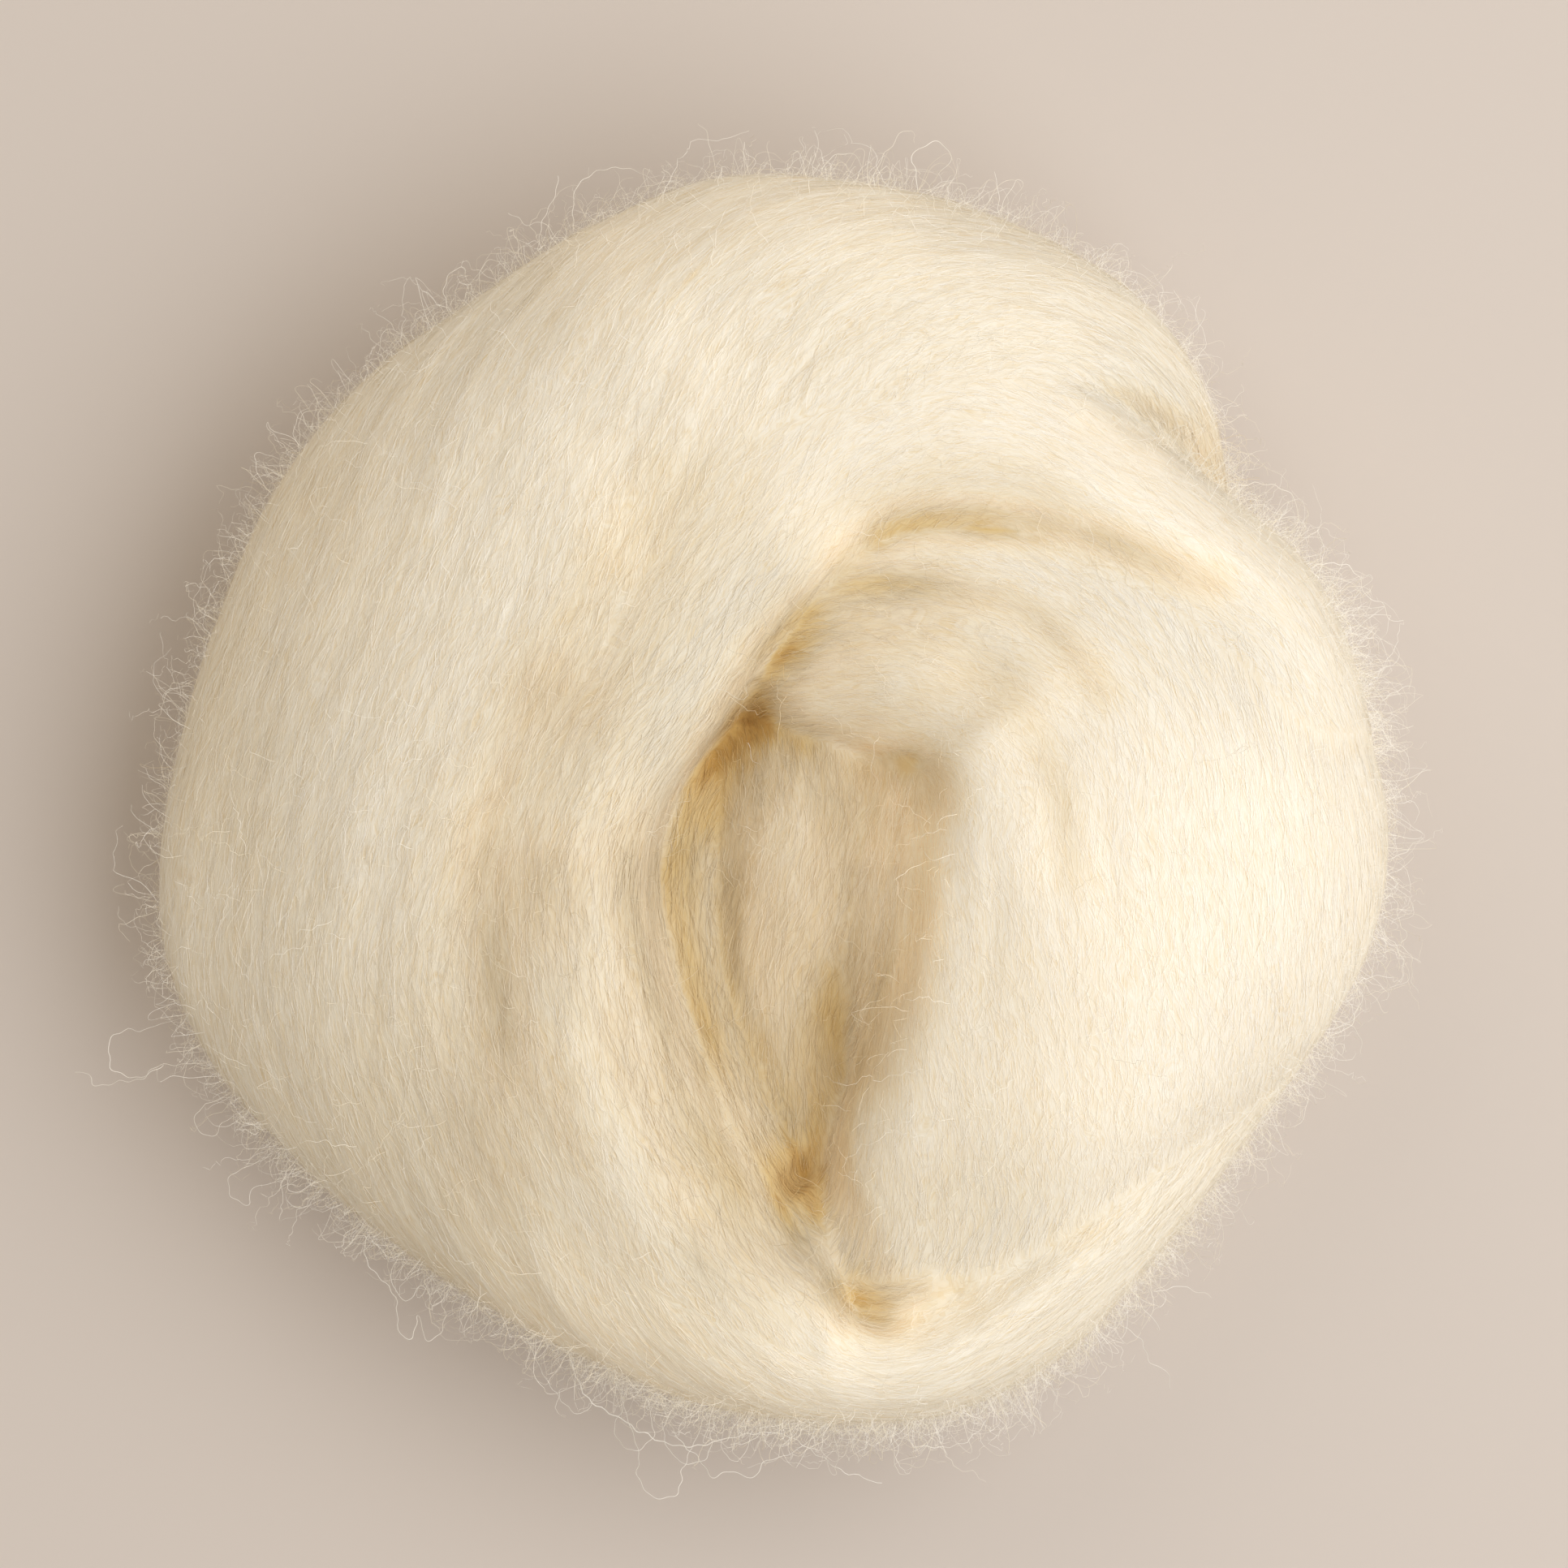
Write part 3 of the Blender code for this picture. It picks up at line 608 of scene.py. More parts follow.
for k, strand in enumerate(strands):
    mine = np.flatnonzero(owner == k)
    used = np.unique(quads[mine])
    found = [strand.tree.find_nearest(Vector(points[i])) for i in used]
    spots = strand.places([hit[0] for hit in found], [hit[2] for hit in found])
    whole = np.zeros((count, 2))
    whole[used] = spots
    places = whole[quads[mine]]
    turn = strand.length.mean()
    places[..., 1] -= turn * np.round((places[..., 1] - places[:, :1, 1]) / turn)
    jumps = np.ptp(places, axis=1).max(axis=1) > FAR_APART
    places[jumps] = places[jumps, :1]
    strand_map[mine] = (places + (MAP_LANE * k, MAP_EDGE)) / MAP_SIDE
    lengthwise[used] = np.column_stack([spots, np.full(len(used), 20.0 * k)])

# Locks of hair stand out lengthwise from the skin, finer and finer. The wraps at the right lie smoothest.
combed_flat = (lengthwise[:, 2] == 40.0) | ((lengthwise[:, 2] == 20.0) & (points[:, 0] > -2.0))
rough = spread(np.where(combed_flat, 0.30, 0.85), 30, 0.5)[:, 0] + 0.4 * rising(-points[:, 2], -28.0, 8.0)
body_mesh.vertices.foreach_set("co", points.ravel())
body_mesh.update()
normals = np.empty(count * 3)
body_mesh.vertices.foreach_get("normal", normals)
normals = normals.reshape(-1, 3)
lift = np.array([
    0.35 * noise.noise(Vector((u / 40.0, v / 7.0, k))) + 0.12 * noise.noise(Vector((u / 24.0, v / 3.0, k + 7.0)))
    + 0.07 * noise.noise(Vector((u / 13.0, v / 1.7, k + 13.0)))
    for u, v, k in lengthwise.tolist()
])
points += normals * (rough * lift)[:, None]
points[:, 2] = np.maximum(points[:, 2], 0.0)

# How hollow each point lies: how much of the sky over it other wool takes up. This occlusion is painted into the
# colour as golden-brown shade.
body_mesh.vertices.foreach_set("co", points.ravel())
body_mesh.update()
tree = BVHTree.FromPolygons(points.tolist(), quads.tolist())
sky = []
for ring, (tilt, share) in enumerate(((20.0, 4), (45.0, 6), (68.0, 6))):
    out, up = math.sin(math.radians(tilt)), math.cos(math.radians(tilt))
    for i in range(share):
        bearing = 2 * math.pi * (i + 0.5 * ring) / share
        sky.append((out * math.cos(bearing), out * math.sin(bearing), up))
painted_hollow_shade = np.zeros(count)
sky = np.array(sky)
for i in np.flatnonzero((points[:, 2] > 12.0) & (normals[:, 2] > -0.3)):
    start = Vector(points[i] + normals[i] * 0.8)
    seen = sky[sky @ normals[i] > 0.1]
    painted_hollow_shade[i] = sum(tree.ray_cast(start, Vector(ray), 45.0)[0] is not None for ray in seen) / len(sky)
painted_hollow_shade = 1.7 * spread(painted_hollow_shade, 4, 0.5)[:, 0]
# Painted golden shade laid along listed paths, and painted light where the amount is below nought: how golden, half
# width, then x, y and so on.
patches = np.array([
    0.9 + 0.7 * noise.noise(Vector((u / 20.0, v / 6.0, k + 31.0))) for u, v, k in lengthwise.tolist()])
upper = rising(points[:, 2], 25.0, 6.0)
for shade_amount, half_width, *path in (
    (0.25, 7, -28, 10, -33, -4, -35, -16, -35, -28, -29, -41),
    (0.17, 6, -25, 16, -18, 29, -13, 39),
    (0.27, 3, -1, 17, 3.5, 22, 8, 28),
    (0.14, 5, 14, 36, 22, 38.5, 32, 38),
    (0.36, 2.4, 9.5, 31, 17.6, 33.6, 24.2, 33.8, 34.2, 33.4, 40.9, 31.7, 47.6, 29, 54, 26),
    (0.24, 2.8, 13.5, 33.2, 20, 34.2, 27, 34.2),
    (0.16, 2.4, 26, 34.2, 33, 33.9),
    (0.1, 2.2, 39.5, 32.2, 47, 29.5, 52, 27),
    (0.32, 2.2, 8.5, 27, 14.5, 27, 22.9, 25.7, 30.7, 23.4, 35.9, 19.1, 40, 13.4),
    (0.24, 5, -10.5, -12, -8.5, -20, -6.5, -28, -3.7, -37, 1, -43.5),
    (0.27, 8.5, -20.5, -10, -19, -16, -15, -26, -8.5, -38, -1, -48),
    (0.45, 3.6, 4, 22, 0.5, 18, -2.5, 12.5, -7, 7),
    (0.3, 2.6, -4.5, 10.5, 0, 8.8, 4.8, 8),
    (0.26, 3.8, 15.5, 2, 17, -4, 17, -14, 15.5, -22),
    (0.42, 3, 17, 4.5, 19.5, 3, 20, 0.5),
    (0.12, 5, 16, 25, 23, 22.5, 30, 17),
    (0.09, 9, -18, 12, -11, 24, 0, 34),
    (0.14, 2.5, 26, 14, 31.5, 8.5, 34, 2, 36, -9),
    (0.14, 6, -17, 2, -16, -12, -13.5, -26, -9, -40),
    (0.22, 3.5, 13, -19, 13.5, -26, 12, -33),
    (0.17, 5, 12, 21.5, 20, 21),
    (-0.1, 6, 2, -4, 5, -12, 6, -20),
    (-0.12, 3, -8.5, 1, -8, -6),
    (0.14, 5, -8, -46, -3, -53, 1, -57),
    (0.66, 2.9, 7.8, -60.5, 9.5, -62, 13, -62.8),
    (0.28, 4, 1.5, -44.5, 3, -47.5),
    (0.25, 4.5, -4, -49, 0, -50.5, 4, -52),
    (-0.2, 6, 33, 51.7, 40, 50.2, 49, 44.5, 57, 41.4),
    (0.05, 7, 16, -28, 18, -42, 14, -50),
    (0.07, 12, 26, -26, 32, -42, 24, -50),
    (0.1, 15, -60, 36, -68, 10, -66, -8, -60, -26, -48, -42, -28, -58, -6, -64),
    (0.08, 8, -31, -9, -29, -17, -26, -26),
    (0.12, 4, -31, -8, -32, -18, -30, -28),
    (0.08, 12, -40, -36, -33, -50, -27, -58),
):
    painted_hollow_shade += shade_amount * np.clip(patches, 0.4, 1.2) * beside(path, half_width) * upper
painted_hollow_shade = np.clip(painted_hollow_shade, 0.0, 1.0)
# Painted shade that dims the colour along paths, and painted light where the amount is below nought: how much, half
# width, then x, y and so on.
painted_light_and_shade = np.zeros(count)
for much, half_width, *path in (
    (0.07, 6.5, -17, -12, -16, -24, -15, -34, -13, -42),
    (0.12, 6, -14, 8, -9, 18, -1, 26),
    (0.08, 4, -12, 0, -13, -8),
    (0.15, 2.6, -8.8, -6, -7.5, -16, -5, -26, -0.5, -35, 2.5, -40),
    (0.05, 5, 1, 2, 4, -10),
    (0.04, 4, 36, 51, 42, 49, 50, 45),
    (0.05, 1.6, 40, 49.8, 44, 48.6, 50.5, 43.8, 56, 40),
    (0.04, 6, -38, -14, -38, -38),
    (0.12, 3, 3.5, -52.5, 8.5, -57),
    (0.06, 4, 14, -55.5, 22, -56.5, 30, -54),
    (0.06, 4, -22, 4, -22.5, -2),
    (0.12, 5, -7, -55, 0, -57, 4, -57),
    (0.08, 4, 42, 52.5, 50, 48, 57, 43.5),
    (0.05, 13, -60, 5, -58, -18, -50, -34, -38, -46),
    (0.08, 4, -24, -12, -25.5, -24),
    (0.05, 5, 18, 23.5, 24, 21.5, 30, 16.5),
    (0.07, 9, 45, 22, 58, 15),
    (0.04, 9, 16, -50, 34, -46),
    (-0.04, 14, 55, 2, 52, -14),
    (-0.05, 7, -22, 66, -12, 58, -6, 50),
    (-0.06, 4, 7, -6, 8, -22),
    (-0.08, 3, -8.5, 4.5, -7.5, 2),
    (-0.13, 3.5, 11, 4.5, 12.5, 1, 13, -5),
    (-0.1, 3, 13, 6, 15.5, 5.5),
    (-0.06, 4, -2, 17, 4, 23, 9, 29),
    (-0.11, 3, 9, 31, 16, 34, 26, 34.5),
    (-0.06, 2.6, 8.5, -60, 12, -62, 17, -63.8),
    (-0.08, 2.5, -4.5, -14, -3, -26, 0, -34),
    (-0.05, 5, -35, -2, -34.5, -10),
    (-0.05, 10, 38, -10, 42, -24, 36, -40),
    (-0.05, 8, -28, -62, -10, -70, 12, -73),
    (-0.06, 7, -18, 70, 0, 73, 14, 71),
    (-0.05, 3, 29.5, 6, 31, -8),
    (-0.03, 12, 26, -26, 36, -40),
    (-0.06, 4, -22, 42, -18, 30),
    (-0.07, 4, 22, 15, 27, 10, 38, 17),
    (-0.06, 2.5, 21, 0, 20.5, -16),
    (-0.13, 4, 17.5, 1, 18, -12, 16.5, -22),
    (-0.08, 3, 7, -43, 8, -50),
    (-0.11, 3.4, 30, 34.5, 36, 33.2, 45, 30.2, 53, 27),
    (-0.08, 3, 17, -64, 22, -62.5, 27, -60),
    (-0.08, 3, 38, 46.5, 47, 42),
):
    painted_light_and_shade += much * beside(path, half_width) * upper

points *= MM
body_mesh.vertices.foreach_set("co", points.ravel())
body_mesh.uv_layers.new(name="strand").data.foreach_set("uv", strand_map.astype("f").ravel())
bare = rising(points[:, 2] / MM, 3.0, 8.0)
# Fuzz is thickest round the rim, most of all at the lower left, the front and the right.
bearing = np.degrees(np.arctan2(points[:, 1], points[:, 0]))
rim = np.clip(3.0 * (0.55 - normals[:, 2]), 0.0, 1.0) * rising(points[:, 2] / MM, 4.0, 6.0)
rim *= rising(np.hypot(points[:, 0], points[:, 1]) / MM, 52.0, 8.0)
rim *= 1.0 + np.exp(-((normals[:, 2] / 0.35) ** 2))
thick = 0.6 + sum(
    much * np.exp(-(((bearing - at + 180.0) % 360.0 - 180.0) / width) ** 2)
    for at, much, width in (
        (-140.0, 0.9, 22.0), (-95.0, 0.9, 28.0), (-52.0, 0.9, 20.0), (14.0, 0.6, 16.0), (150.0, 0.5, 14.0)))
for name, values in (
    ("painted_hollow_shade", painted_hollow_shade), ("painted_light_and_shade", painted_light_and_shade), ("rough", rough), ("bare", bare), ("fuzz", 0.10 + rim * thick),
):
    body_mesh.attributes.new(name, "FLOAT", "POINT").data.foreach_set("value", values.astype("f"))
body_mesh.polygons.foreach_set("use_smooth", [True] * len(quads))
body_mesh.name = "wool_body"
body_mesh.update()
wool_body = bpy.data.objects.new("wool_body", body_mesh)
scene.collection.objects.link(wool_body)
body_mesh.materials.clear()
body_mesh.materials.append(wool_material("combed_cream_wool"))

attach(wool_body, "root")
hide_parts("roving_nest")

# Over the skin lie loose combed hairs, each a fine flat ribbon, some paler and some more golden. They follow
# the strand, dive in at both ends, and lie a little crosswise, which blurs the folds they run over.
HAIR_GOLD, HAIR_CREAM = (0.855, 0.78, 0.62), (0.955, 0.922, 0.842)
TURN = 6.283                    # one whole wave of the crimp
hair_wool, shader = principled("loose_cream_hair", HAIR_CREAM, 0.75)
tree = hair_wool.node_tree
tone = add(tree, "ShaderNodeValToRGB", {"Fac": told(tree, "tone")})
tone.color_ramp.elements[0].color, tone.color_ramp.elements[1].color = (*HAIR_GOLD, 1.0), (*HAIR_CREAM, 1.0)
tone.color_ramp.elements[1].position = 0.6
# The hairs carry the painted shade and painted light of the skin they grow on.
tree.links.new(with_painted_shade(tree, tone.outputs["Color"]), shader.inputs["Base Color"])
shader.inputs["Specular IOR Level"].default_value = 0.3


class Tree:
    """A Geometry Nodes tree that grows hairs on a skin, with named inputs."""

    def __init__(self, name, numbers):
        self.tree = bpy.data.node_groups.new(name, "GeometryNodeTree")
        face = self.tree.interface
        face.new_socket("Geometry", in_out="INPUT", socket_type="NodeSocketGeometry")
        self.names = []
        for key in numbers:
            kind = "NodeSocketInt" if key in ("Segments", "Seed") else "NodeSocketFloat"
            self.names.append(face.new_socket(key, in_out="INPUT", socket_type=kind).identifier)
        face.new_socket("Geometry", in_out="OUTPUT", socket_type="NodeSocketGeometry")
        self.given = {socket.name: Value(socket) for socket in self.tree.nodes.new("NodeGroupInput").outputs}
        self.skin = self.given["Geometry"]

    def outputs(self, kind, sockets=None, **settings):
        return add(self.tree, "GeometryNode" + kind, sockets, **settings).outputs

    def node(self, kind, sockets=None, **settings):
        return Value(self.outputs(kind, sockets, **settings)[0])

    def xyz(self, x=0.0, y=0.0, z=0.0):
        return joined_up(self.tree, x, y, z)

    def read(self, name, kind="FLOAT"):
        return self.node("InputNamedAttribute", {"Name": name}, data_type=kind)

    def keep(self, geometry, name, value, kind="FLOAT"):
        kept = {"Geometry": geometry, "Name": name, "Value": value}
        return self.node("StoreNamedAttribute", kept, data_type=kind, domain="POINT")

    def chance(self, number):
        """A random number up to 1 for each hair, drawn with the tree's seed."""
        made = add(self.tree, "FunctionNodeRandomValue", data_type="FLOAT")
        seed = [i for i in made.inputs if i.identifier == "Seed"][0]
        self.tree.links.new((self.given["Seed"] + float(number)).socket, seed)
        return Value([o for o in made.outputs if o.enabled][0])

    def chances(self):
        """What each hair drew, six random numbers up to 1."""
        return [self.read("chance_%d" % number) for number in range(1, 7)]

    def on_skin(self, value, place):
        """A value of the skin at a place on its map, and whether the map has skin there."""
        made = add(self.tree, "GeometryNodeSampleUVSurface", {"Mesh": self.skin, "Sample UV": place},
                   data_type="FLOAT_VECTOR")
        sampled = [i for i in made.inputs if i.name == "Value" and i.enabled][0]
        source = [i for i in made.inputs if i.identifier == "Source UV Map"][0]
        self.tree.links.new(value.socket, sampled)
        self.tree.links.new(self.read("strand", "FLOAT_VECTOR").socket, source)
        found = [o for o in made.outputs if o.enabled and o.name == "Value"][0]
        return Value(found), Value(made.outputs["Is Valid"])

    def sow(self, where):
        """Hairs rooted where an attribute says: each a line of points with its run from 0 to 1, chances and root."""
        here, place = self.node("InputPosition"), self.read("strand", "FLOAT_VECTOR")
        scatter = self.outputs("DistributePointsOnFaces", {
            "Mesh": self.skin, "Density": self.given["Density"] * self.read(where), "Seed": self.given["Seed"]})
        ahead = self.on_skin(here, place + (1.0 / MAP_SIDE, 0.0, 0.0))[0]
        hairs = Value(scatter["Points"])
        for name, value in (("place", place), ("root", here), ("outward", Value(scatter["Normal"])),
                            ("onward", (ahead - here).sum("NORMALIZE"))):
            hairs = self.keep(hairs, name, value, "FLOAT_VECTOR")
        for number in range(7):
            hairs = self.keep(hairs, "chance_%d" % number if number else "tone", self.chance(number + 1))
        segments = self.given["Segments"]
        step = self.xyz(reckon(self.tree, False, "DIVIDE", 1.0, segments))
        line = {"Count": segments + 1.0, "Start Location": (0.0, 0.0, 0.0), "Offset": step}
        line = self.node("MeshLine", line, mode="OFFSET")
        run = add(self.tree, "ShaderNodeSeparateXYZ", {0: here}).outputs["X"]
        hairs = self.node("InstanceOnPoints", {"Points": hairs, "Instance": self.keep(line, "run", Value(run))})
        return self.node("RealizeInstances", {0: hairs})

    def ribbons(self, hairs, taper, facing):
        """The hairs as flat ribbons of wool, which end the tree."""
        hairs = self.node("MeshToCurve", {"Mesh": hairs})
        hairs = self.node("SetCurveNormal", {"Curve": hairs, "Normal": facing}, mode="FREE")
        half = self.given["Width"] * (0.5 * MM)
        sides = {"Start": self.xyz(y=half * -1.0), "End": self.xyz(y=half)}
        profile = self.node("CurvePrimitiveLine", sides, mode="POINTS")
        made = self.node("CurveToMesh", {"Curve": hairs, "Profile Curve": profile, "Scale": taper})
        made = self.node("RealizeInstances", {0: self.node("SetShadeSmooth", {"Geometry": made})})
        made = self.node("SetMaterial", {"Geometry": made, "Material": hair_wool})
        self.tree.links.new(made.socket, self.tree.nodes.new("NodeGroupOutput").inputs[0])

    def grow(self, name, *values):
        """The hairs that the tree grows on the wool, as a plain piece of the nest."""
        sown = bpy.data.objects.new(name, body_mesh)
        scene.collection.objects.link(sown)
        growing = sown.modifiers.new("growing", "NODES")
        growing.node_group = self.tree
        for socket, value in zip(self.names, values):
            growing[socket] = value
        made = bpy.data.meshes.new_from_object(sown.evaluated_get(bpy.context.evaluated_depsgraph_get()))
        bpy.data.objects.remove(sown)
        kept = ("position", "painted_hollow_shade", "painted_light_and_shade", "tone", "sharp_face", "material_index")
        for key in [a.name for a in made.attributes]:
            if key not in kept and not key.startswith("."):
                made.attributes.remove(made.attributes[key])
        dress(name, made)


def dress(name, made):
    """A mesh of hairs, as a piece of the nest."""
    made.name = name
    piece = bpy.data.objects.new(name, made)
    scene.collection.objects.link(piece)
    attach(piece, "root")
    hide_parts("roving_nest")


combed = Tree("combed_hairs", ("Density", "Length", "Width", "Lift", "Arch", "Crimp", "Cross", "Segments", "Seed"))
hairs = combed.sow("bare")
given, run, chance, rough = combed.given, combed.read("run"), combed.chances(), combed.read("rough")
length = given["Length"] * (chance[0] + 0.5)
along = (run - 0.5) * length
phase = chance[1] * TURN
wave = (along * (chance[2] + 1.1) + phase).sum("SINE")
slow = (along * 0.55 + phase * 3.0).sum("SINE")
across = wave * given["Crimp"] + slow * given["Cross"] * 0.6 + along * ((chance[3] - 0.5) * given["Cross"])
place = combed.read("place", "FLOAT_VECTOR") + combed.xyz(along, across) * (1.0 / MAP_SIDE)
spot, found = combed.on_skin(combed.node("InputPosition"), place)
outward = combed.on_skin(combed.node("InputNormal"), place)[0]
bow = run * (1.0 - run) * 4.0
lift = (given["Lift"] + given["Arch"] * chance[4].sum("POWER", 3.0) * rough) * bow - 0.05
spot = spot + outward * (lift * MM)
hairs = combed.keep(hairs, "outward", outward, "FLOAT_VECTOR")
hairs = combed.node("SetPosition", {"Geometry": hairs, "Position": spot})
# Where the map ends, or jumps over to another wrap, the hair ends too.
strayed = (spot - combed.read("root", "FLOAT_VECTOR")).sum("LENGTH").sum("GREATER_THAN", length * (0.62 * MM))
lost = strayed.sum("MAXIMUM", found.sum("LESS_THAN", 0.5))
hairs = combed.node("DeleteGeometry", {"Geometry": hairs, "Selection": lost}, domain="POINT")
hairs = combed.keep(hairs, "tone", (combed.read("tone") - 0.65) * rough + 0.65)
ends = (run * 2.0 - 1.0).sum("ABSOLUTE").sum("POWER", 4.0)
rolled = combed.xyz(chance[5] - 0.5, chance[2] - 0.5) * rough
combed.ribbons(hairs, 1.0 - ends * 0.8, combed.read("outward", "FLOAT_VECTOR") + rolled)
for name, *values in (
    # density, length, width, lift, arch, crimp, cross, segments, seed
    ("combed_hairs_low", 600000.0, 6.5, 0.060, 0.08, 0.25, 0.12, 0.25, 5, 11),
    ("combed_hairs_mid", 600000.0, 5.0, 0.050, 0.10, 0.45, 0.12, 0.50, 5, 12),
    ("combed_hairs_high", 600000.0, 4.5, 0.045, 0.14, 0.80, 0.14, 0.95, 5, 13),
):
    combed.grow(name, *values)

# Fuzz stands all round the nest: hairs that have sprung out of the strand, curled and crimped, most of
# them short. They root in the skin and many turn back into it.
fuzz = Tree("fuzz", ("Density", "Length", "Width", "Height", "Crimp", "Curl", "Segments", "Seed"))
hairs = fuzz.sow("fuzz")
given, run, chance = fuzz.given, fuzz.read("run"), fuzz.chances()
onward, outward, root = (fuzz.read(key, "FLOAT_VECTOR") for key in ("onward", "outward", "root"))
length = given["Length"] * (chance[0] * chance[0] * 1.3 + 0.35)
turn = (chance[1] - 0.5) * 5.0
heading = onward * turn.sum("COSINE") + outward.sum("CROSS_PRODUCT", onward) * turn.sum("SINE")
height = given["Height"] * (chance[2] * chance[2] + 0.15)
rise = (run * (chance[3] * 1.6 + 1.5)).sum("SINE")
drawn = run * length
spot = fuzz.xyz(drawn * 0.22 + chance[4] * 91.0, chance[5] * 57.0, chance[1] * 83.0)
curl = Value(cloud(fuzz.tree, spot, 1.5)["Color"]) - (0.5, 0.5, 0.5)
curl = curl * (given["Curl"] * (run * 3.0).sum("MINIMUM", 1.0))
wave = (drawn * (chance[4] + 2.6) + chance[5] * TURN).sum("SINE")
crimp = heading.sum("CROSS_PRODUCT", outward) * (wave * given["Crimp"])
offset = heading * (drawn * 0.75) + outward * (height * rise - 0.2) + curl + crimp
spot = (root + offset * MM).sum("MAXIMUM", (-1.0, -1.0, 0.05 * MM))
hairs = fuzz.node("SetPosition", {"Geometry": hairs, "Position": spot})
fuzz.ribbons(hairs, 1.0 - run * 0.6, fuzz.xyz(chance[4] - 0.5, chance[5] - 0.5, 0.7))
for name, *values in (
    # density, length, width, height, crimp, curl, segments, seed
    ("short_fuzz", 330000.0, 5.0, 0.045, 2.6, 0.16, 2.4, 8, 21),
    ("curled_fuzz", 230000.0, 7.0, 0.045, 4.8, 0.20, 3.8, 12, 23),
    ("long_fuzz", 85000.0, 12.0, 0.050, 6.2, 0.22, 5.0, 22, 22),
):
    fuzz.grow(name, *values)
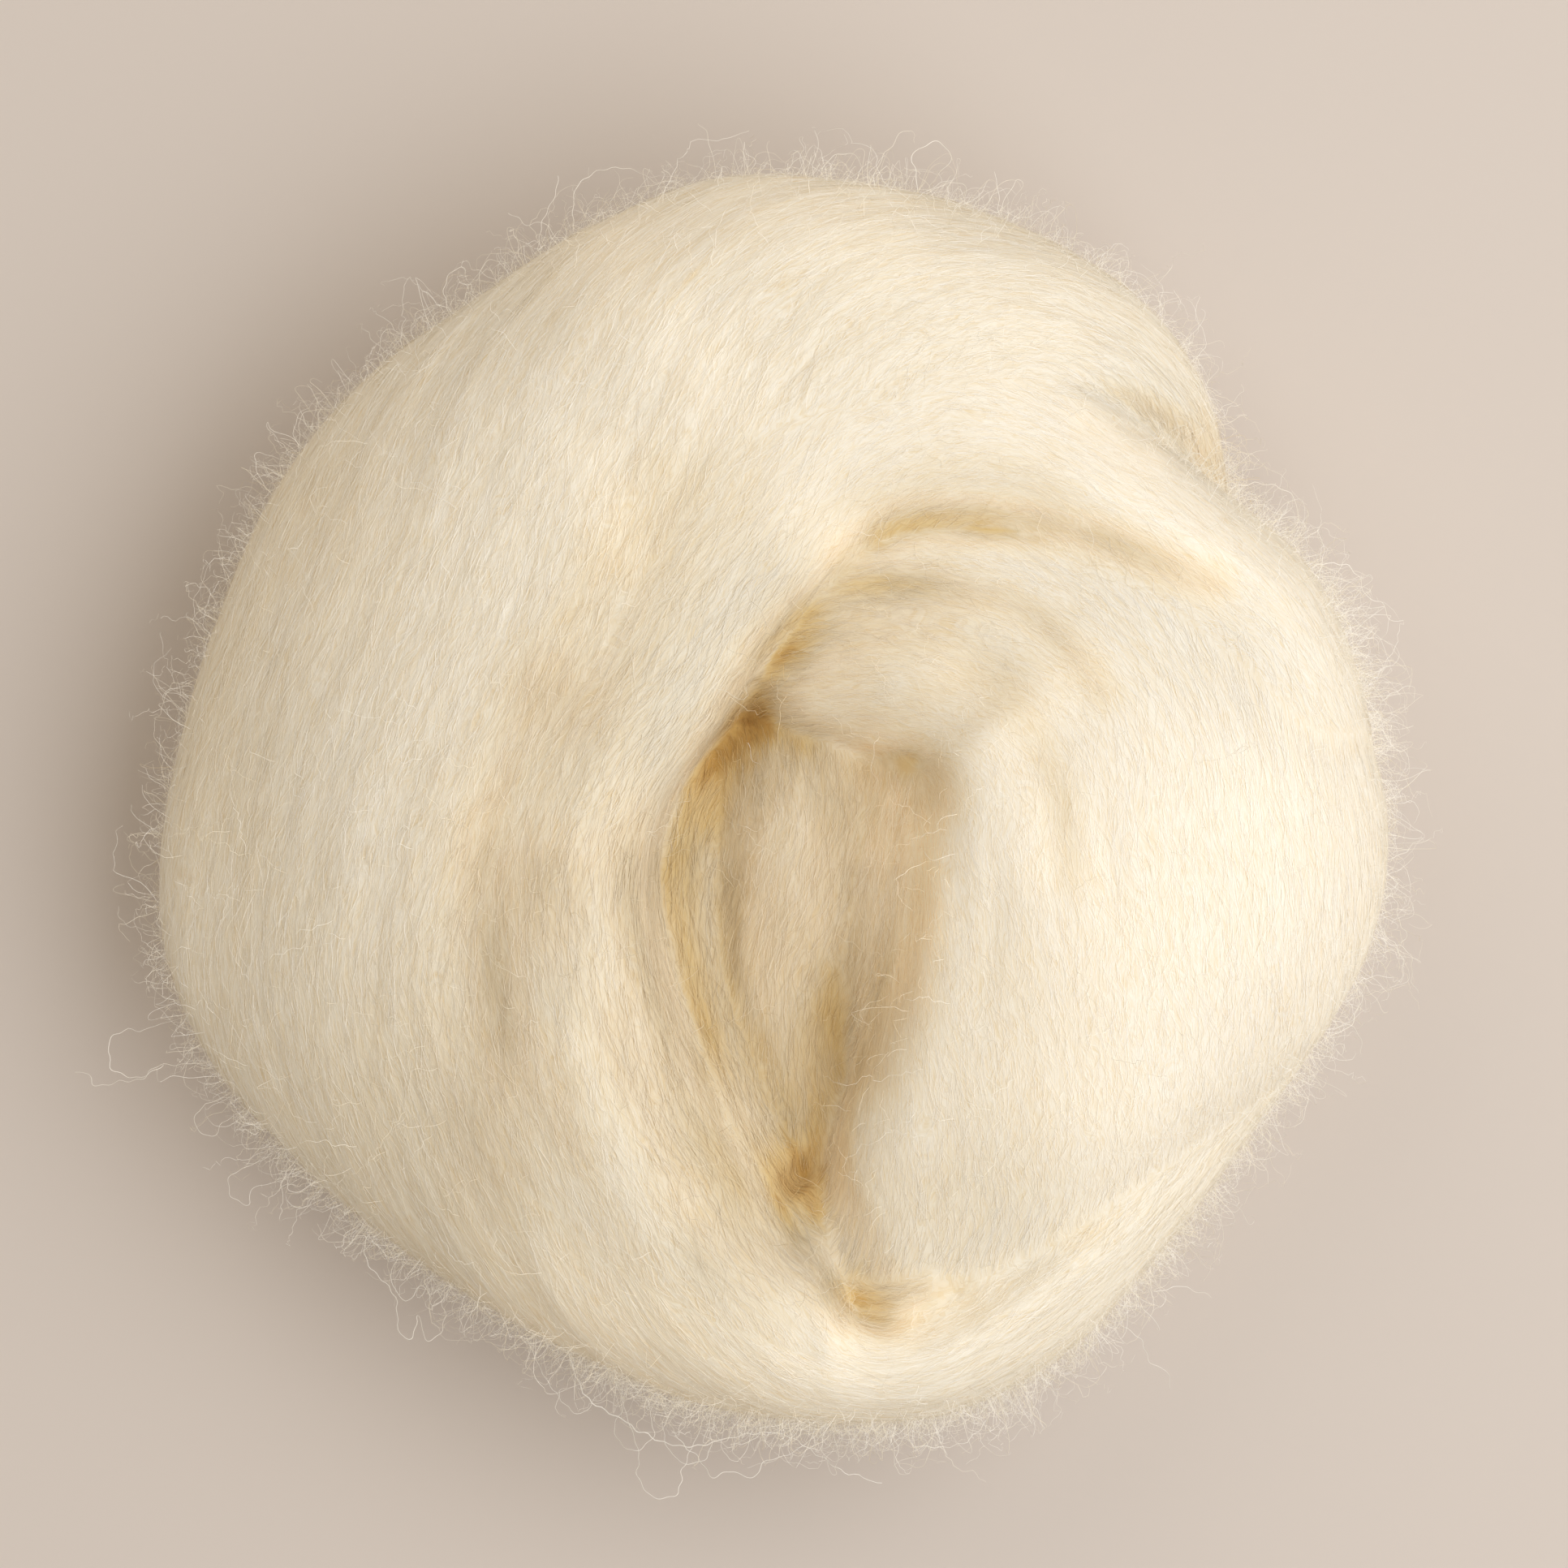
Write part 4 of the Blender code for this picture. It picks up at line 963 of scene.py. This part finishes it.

# Single hairs have sprung right out of the nest, mostly at the front and the sides, as long loose loops with
# the crimp still in them, and a few lie on top. Each is laid one by one along its given points, and bends between
# them as hair does.
STRAYS = (
    # half width, height where it leaves the wool, height at its end, then x and y of each point along it;
    # those on top have no height
    (0.045, 20, 9, -66, -32, -73.5, -33, -77.5, -33.4, -79, -34.8, -82.5, -35.4, -85.5, -35.8, -86.2, -34.4, -88,
     -34.2),
    (0.035, 20, 18, -76, -33, -79.5, -34.6, -82.6, -33.2, -82.3, -29.2, -78.6, -28.6, -71, -26),
    (0.035, 20, 17, -59, -42, -65, -45.5, -67.6, -46.8, -67.8, -49.3, -65.6, -50.4, -65, -48.6, -62, -47.6, -55, -46),
    (0.035, 22, 18, -65, -36, -71.6, -38.6, -72, -40.5, -70.1, -41.9, -68.1, -39.8, -64, -38),
    (0.045, 24, 18, -47, -52, -50.6, -54.6, -50.2, -57.9, -47.2, -61.3, -46.3, -66.7, -45, -67, -44.3, -64.3, -43.1,
     -67.3, -41.4, -66.3, -41, -63.8, -41.6, -60.8, -38, -57),
    (0.045, 22, 20, -44, -53, -47.5, -59, -45.8, -62.5, -43.6, -60.4, -42.2, -63, -39.5, -60, -37, -58),
    (0.075, 24, 8, -27, -64, -22.9, -74.6, -18.4, -77.5, -16.5, -78.9, -12, -80.8, -8.1, -80.6, -4.2, -79.7, 0.9,
     -79.5, 4.8, -81.7, 8.6, -84.3, 13.8, -86.2),
    (0.045, 20, 18, -21, -68, -17.6, -78.6, -16.6, -82, -16.9, -84, -14.9, -87, -12, -86.6, -11.2, -83.9, -10.4,
     -81.6, -7, -74),
    (0.045, 22, 20, -16, -70, -12, -79, -9.4, -81.8, -7.4, -84.2, -4.9, -83.6, -2.4, -84.5, -1, -82.6, 3.5, -80.8, 9,
     -75),
    (0.04, 21, 21, -20, -69, -18.8, -75.5, -19.7, -79, -17.2, -81, -14.8, -79.2, -15.2, -76.4, -12, -71),
    (0.04, 22, 20, -12, -72, -13.6, -78.6, -11.6, -82.4, -8.2, -82, -7.6, -78.8, -6, -74),
    (0.04, 21, 18, -33, -62, -30, -68.5, -27.4, -73.6, -24, -76.6, -21.6, -74, -19, -70),
    (0.04, 20, 14, 10, -74, 16, -79.6, 21.6, -81, 26, -78.8, 27.4, -74.8, 24, -70),
    (0.04, 20, 10, 38, -60, 43.3, -65.3, 46.4, -67.8, 47.4, -70.5, 49.7, -72, 50.2, -74),
    (0.04, 21, 12, 44, -54, 49.6, -56.2, 50.6, -59.4, 47.8, -61.5, 51.2, -61, 55.2, -62.4),
    (0.04, 27, 24, 53, 38, 59, 39.3, 62.6, 39.1, 65.2, 36.9, 65, 34.2, 62, 30),
    (0.035, 26, 22, 55, 34, 60.2, 36.9, 63.6, 35.6, 64.4, 37.2),
    (0.045, 27, 14, 63, 28, 69.9, 29.6, 73, 28.4, 74.2, 25.6, 76.3, 24.8, 77.2, 22.9, 79.2, 22.5),
    (0.04, 26, 18, 66, 25, 71, 23.4, 72.6, 20.8, 75, 20.4, 76, 18.4),
    (0.035, 25, 18, 68, 13, 75.6, 12.5, 78, 13.8, 80.2, 14.2, 80.3, 12.4),
    (0.04, 24, 20, 71, -7, 76.5, -10.8, 77.8, -12.9, 78, -14.7, 79, -16.4, 77.8, -18.2, 72, -19),
    (0.04, 24, 18, 70, -13, 75, -15.6, 78.6, -19.6, 78.3, -22.2, 76.7, -23.8, 75, -22.6, 69, -21),
    (0.035, 22, 12, 72, -16, 77, -17.6, 79.9, -19.2, 80.3, -22, 81, -24.2),
    (0.055, 26, 24, 68, -18, 72, -21.8, 72.8, -24.9, 72, -27.6, 70, -29, 64, -29),
    (0.035, 22, 14, 66, -27, 72.8, -28.3, 73.7, -30, 74, -31.8),
    (0.04, 26, 26, -27, 63, -28.2, 66.6, -28.9, 69.4, -28.4, 72.3, -27, 75.1, -26.6, 77.6),
    (0.035, 24, 22, -25, 66, -28.2, 71.8, -30.9, 71.9, -32.8, 73.4),
    (0.035, 25, 24, -29, 65, -26.6, 70.9, -25.1, 69.3, -26, 64),
    (0.04, 24, 26, -24, 66, -24.7, 72, -24.5, 75.8, -22.2, 78, -18.1, 78.6, -14.6, 76.8, -12, 72),
    (0.04, 26, 24, -38, 57, -40.7, 62.3, -40.2, 65.2, -38.4, 66.2, -37.6, 63.5, -36, 58),
    (0.04, 24, 26, -34, 59, -36.4, 63.8, -35.8, 66.7, -33.8, 67.2, -32.2, 65.6, -29, 62),
    (0.035, 25, 25, -43, 52, -44.9, 58.1, -43.8, 60.8, -41.5, 61.4, -39, 58),
    (0.035, 24, 24, -46, 49, -48.9, 55.2, -48, 58.6, -45.2, 57.4, -42, 55),
    (0.035, 26, 25, 4, 72, 7.2, 79.8, 9.9, 80.3, 11.2, 78.4, 9.2, 77.2, 8, 72),
    (0.04, 26, 26, 18, 70, 17.9, 77.4, 17.4, 80, 20.6, 81.9, 22.1, 79.8, 19.6, 76.4, 17, 70),
    (0.035, 25, 25, 16, 70, 19.8, 75.9, 23.5, 76.7, 24, 74.8, 23, 70),
    (0.035, 26, 28, -5, 72, -3, 77.6, -2.1, 79.1, -3.2, 80.4),
    (0.035, 24, 24, 11, 71, 14.1, 79.1, 15, 76.8, 16, 72),
    (0.035, 24, 22, 27, 67, 28.2, 73.8, 27.8, 78.4),
    (0.04, 24, 24, -54, 39, -58.8, 45, -58.2, 48.2, -54.2, 48.6, -49, 46),
    (0.035, 25, 24, -58, 34, -63.4, 39.6, -64.2, 43, -60.8, 42.4, -56, 40),
    (0.035, None, None, 41, 32, 41.6, 30, 42.9, 28.4, 43.3, 26.3, 46.2, 25.7, 47.7, 24.2),
    (0.03, None, None, 39.2, 29.4, 40, 27.4, 41.6, 26.8, 42.5, 27.4),
    (0.03, None, None, 47.7, 27.4, 49.6, 26.8, 49.9, 28.4, 49.4, 29.4),
    (0.04, None, None, -3, 7.2, -2.6, 6, -2.4, 4.8, -1.4, 4.6),
)
skin = BVHTree.FromPolygons(points.tolist(), quads.tolist())
corners, faces, tones = [], [], []
for k, (half_width, leaves, ends, *path) in enumerate(STRAYS):
    line = through(np.reshape(path, (-1, 2)), 9) * MM
    run = np.concatenate([[0.0], np.cumsum(np.linalg.norm(np.diff(line, axis=0), axis=1))]) / MM
    aside = np.gradient(line, axis=0)[:, ::-1] * (-1.0, 1.0)
    aside /= np.linalg.norm(aside, axis=1)[:, None]
    wander = [0.35 * noise.noise(Vector((far / 1.6, 7.0 * k, 0.0))) + 0.10 * math.sin(2.9 * far) for far in run]
    line = line + aside * np.array(wander)[:, None] * MM
    heights = []
    for i, (x, y) in enumerate(line.tolist()):
        if leaves is None:
            hit = skin.ray_cast(Vector((x, y, 0.1)), Vector((0.0, 0.0, -1.0)))[0]
            heights.append(hit[2] + 0.12 * MM)
        else:
            share = run[i] / run[-1]
            sway = 1.5 * noise.noise(Vector((run[i] / 4.0, 3.0 * k, 9.0)))
            heights.append((leaves + (ends - leaves) * share + sway) * MM)
    for i, (height, part) in enumerate(zip(heights, run / run[-1])):
        width = half_width * MM * (1.0 - 0.5 * part)
        for side in (-1.0, 1.0):
            corners.append((*(line[i] + aside[i] * width * side), height + side * width * 0.5))
            tones.append(0.05 if leaves is None and half_width < 0.04 else 0.6)
        if i:
            last = len(corners)
            faces.append((last - 4, last - 2, last - 1, last - 3))
mesh = bpy.data.meshes.new("stray_hairs")
mesh.from_pydata(corners, [], faces)
mesh.polygons.foreach_set("use_smooth", [True] * len(faces))
mesh.attributes.new("tone", "FLOAT", "POINT").data.foreach_set("value", tones)
mesh.attributes.new("painted_hollow_shade", "FLOAT", "POINT").data.foreach_set("value", [0.0] * len(corners))
mesh.materials.append(hair_wool)
mesh.update()
dress("stray_hairs", mesh)
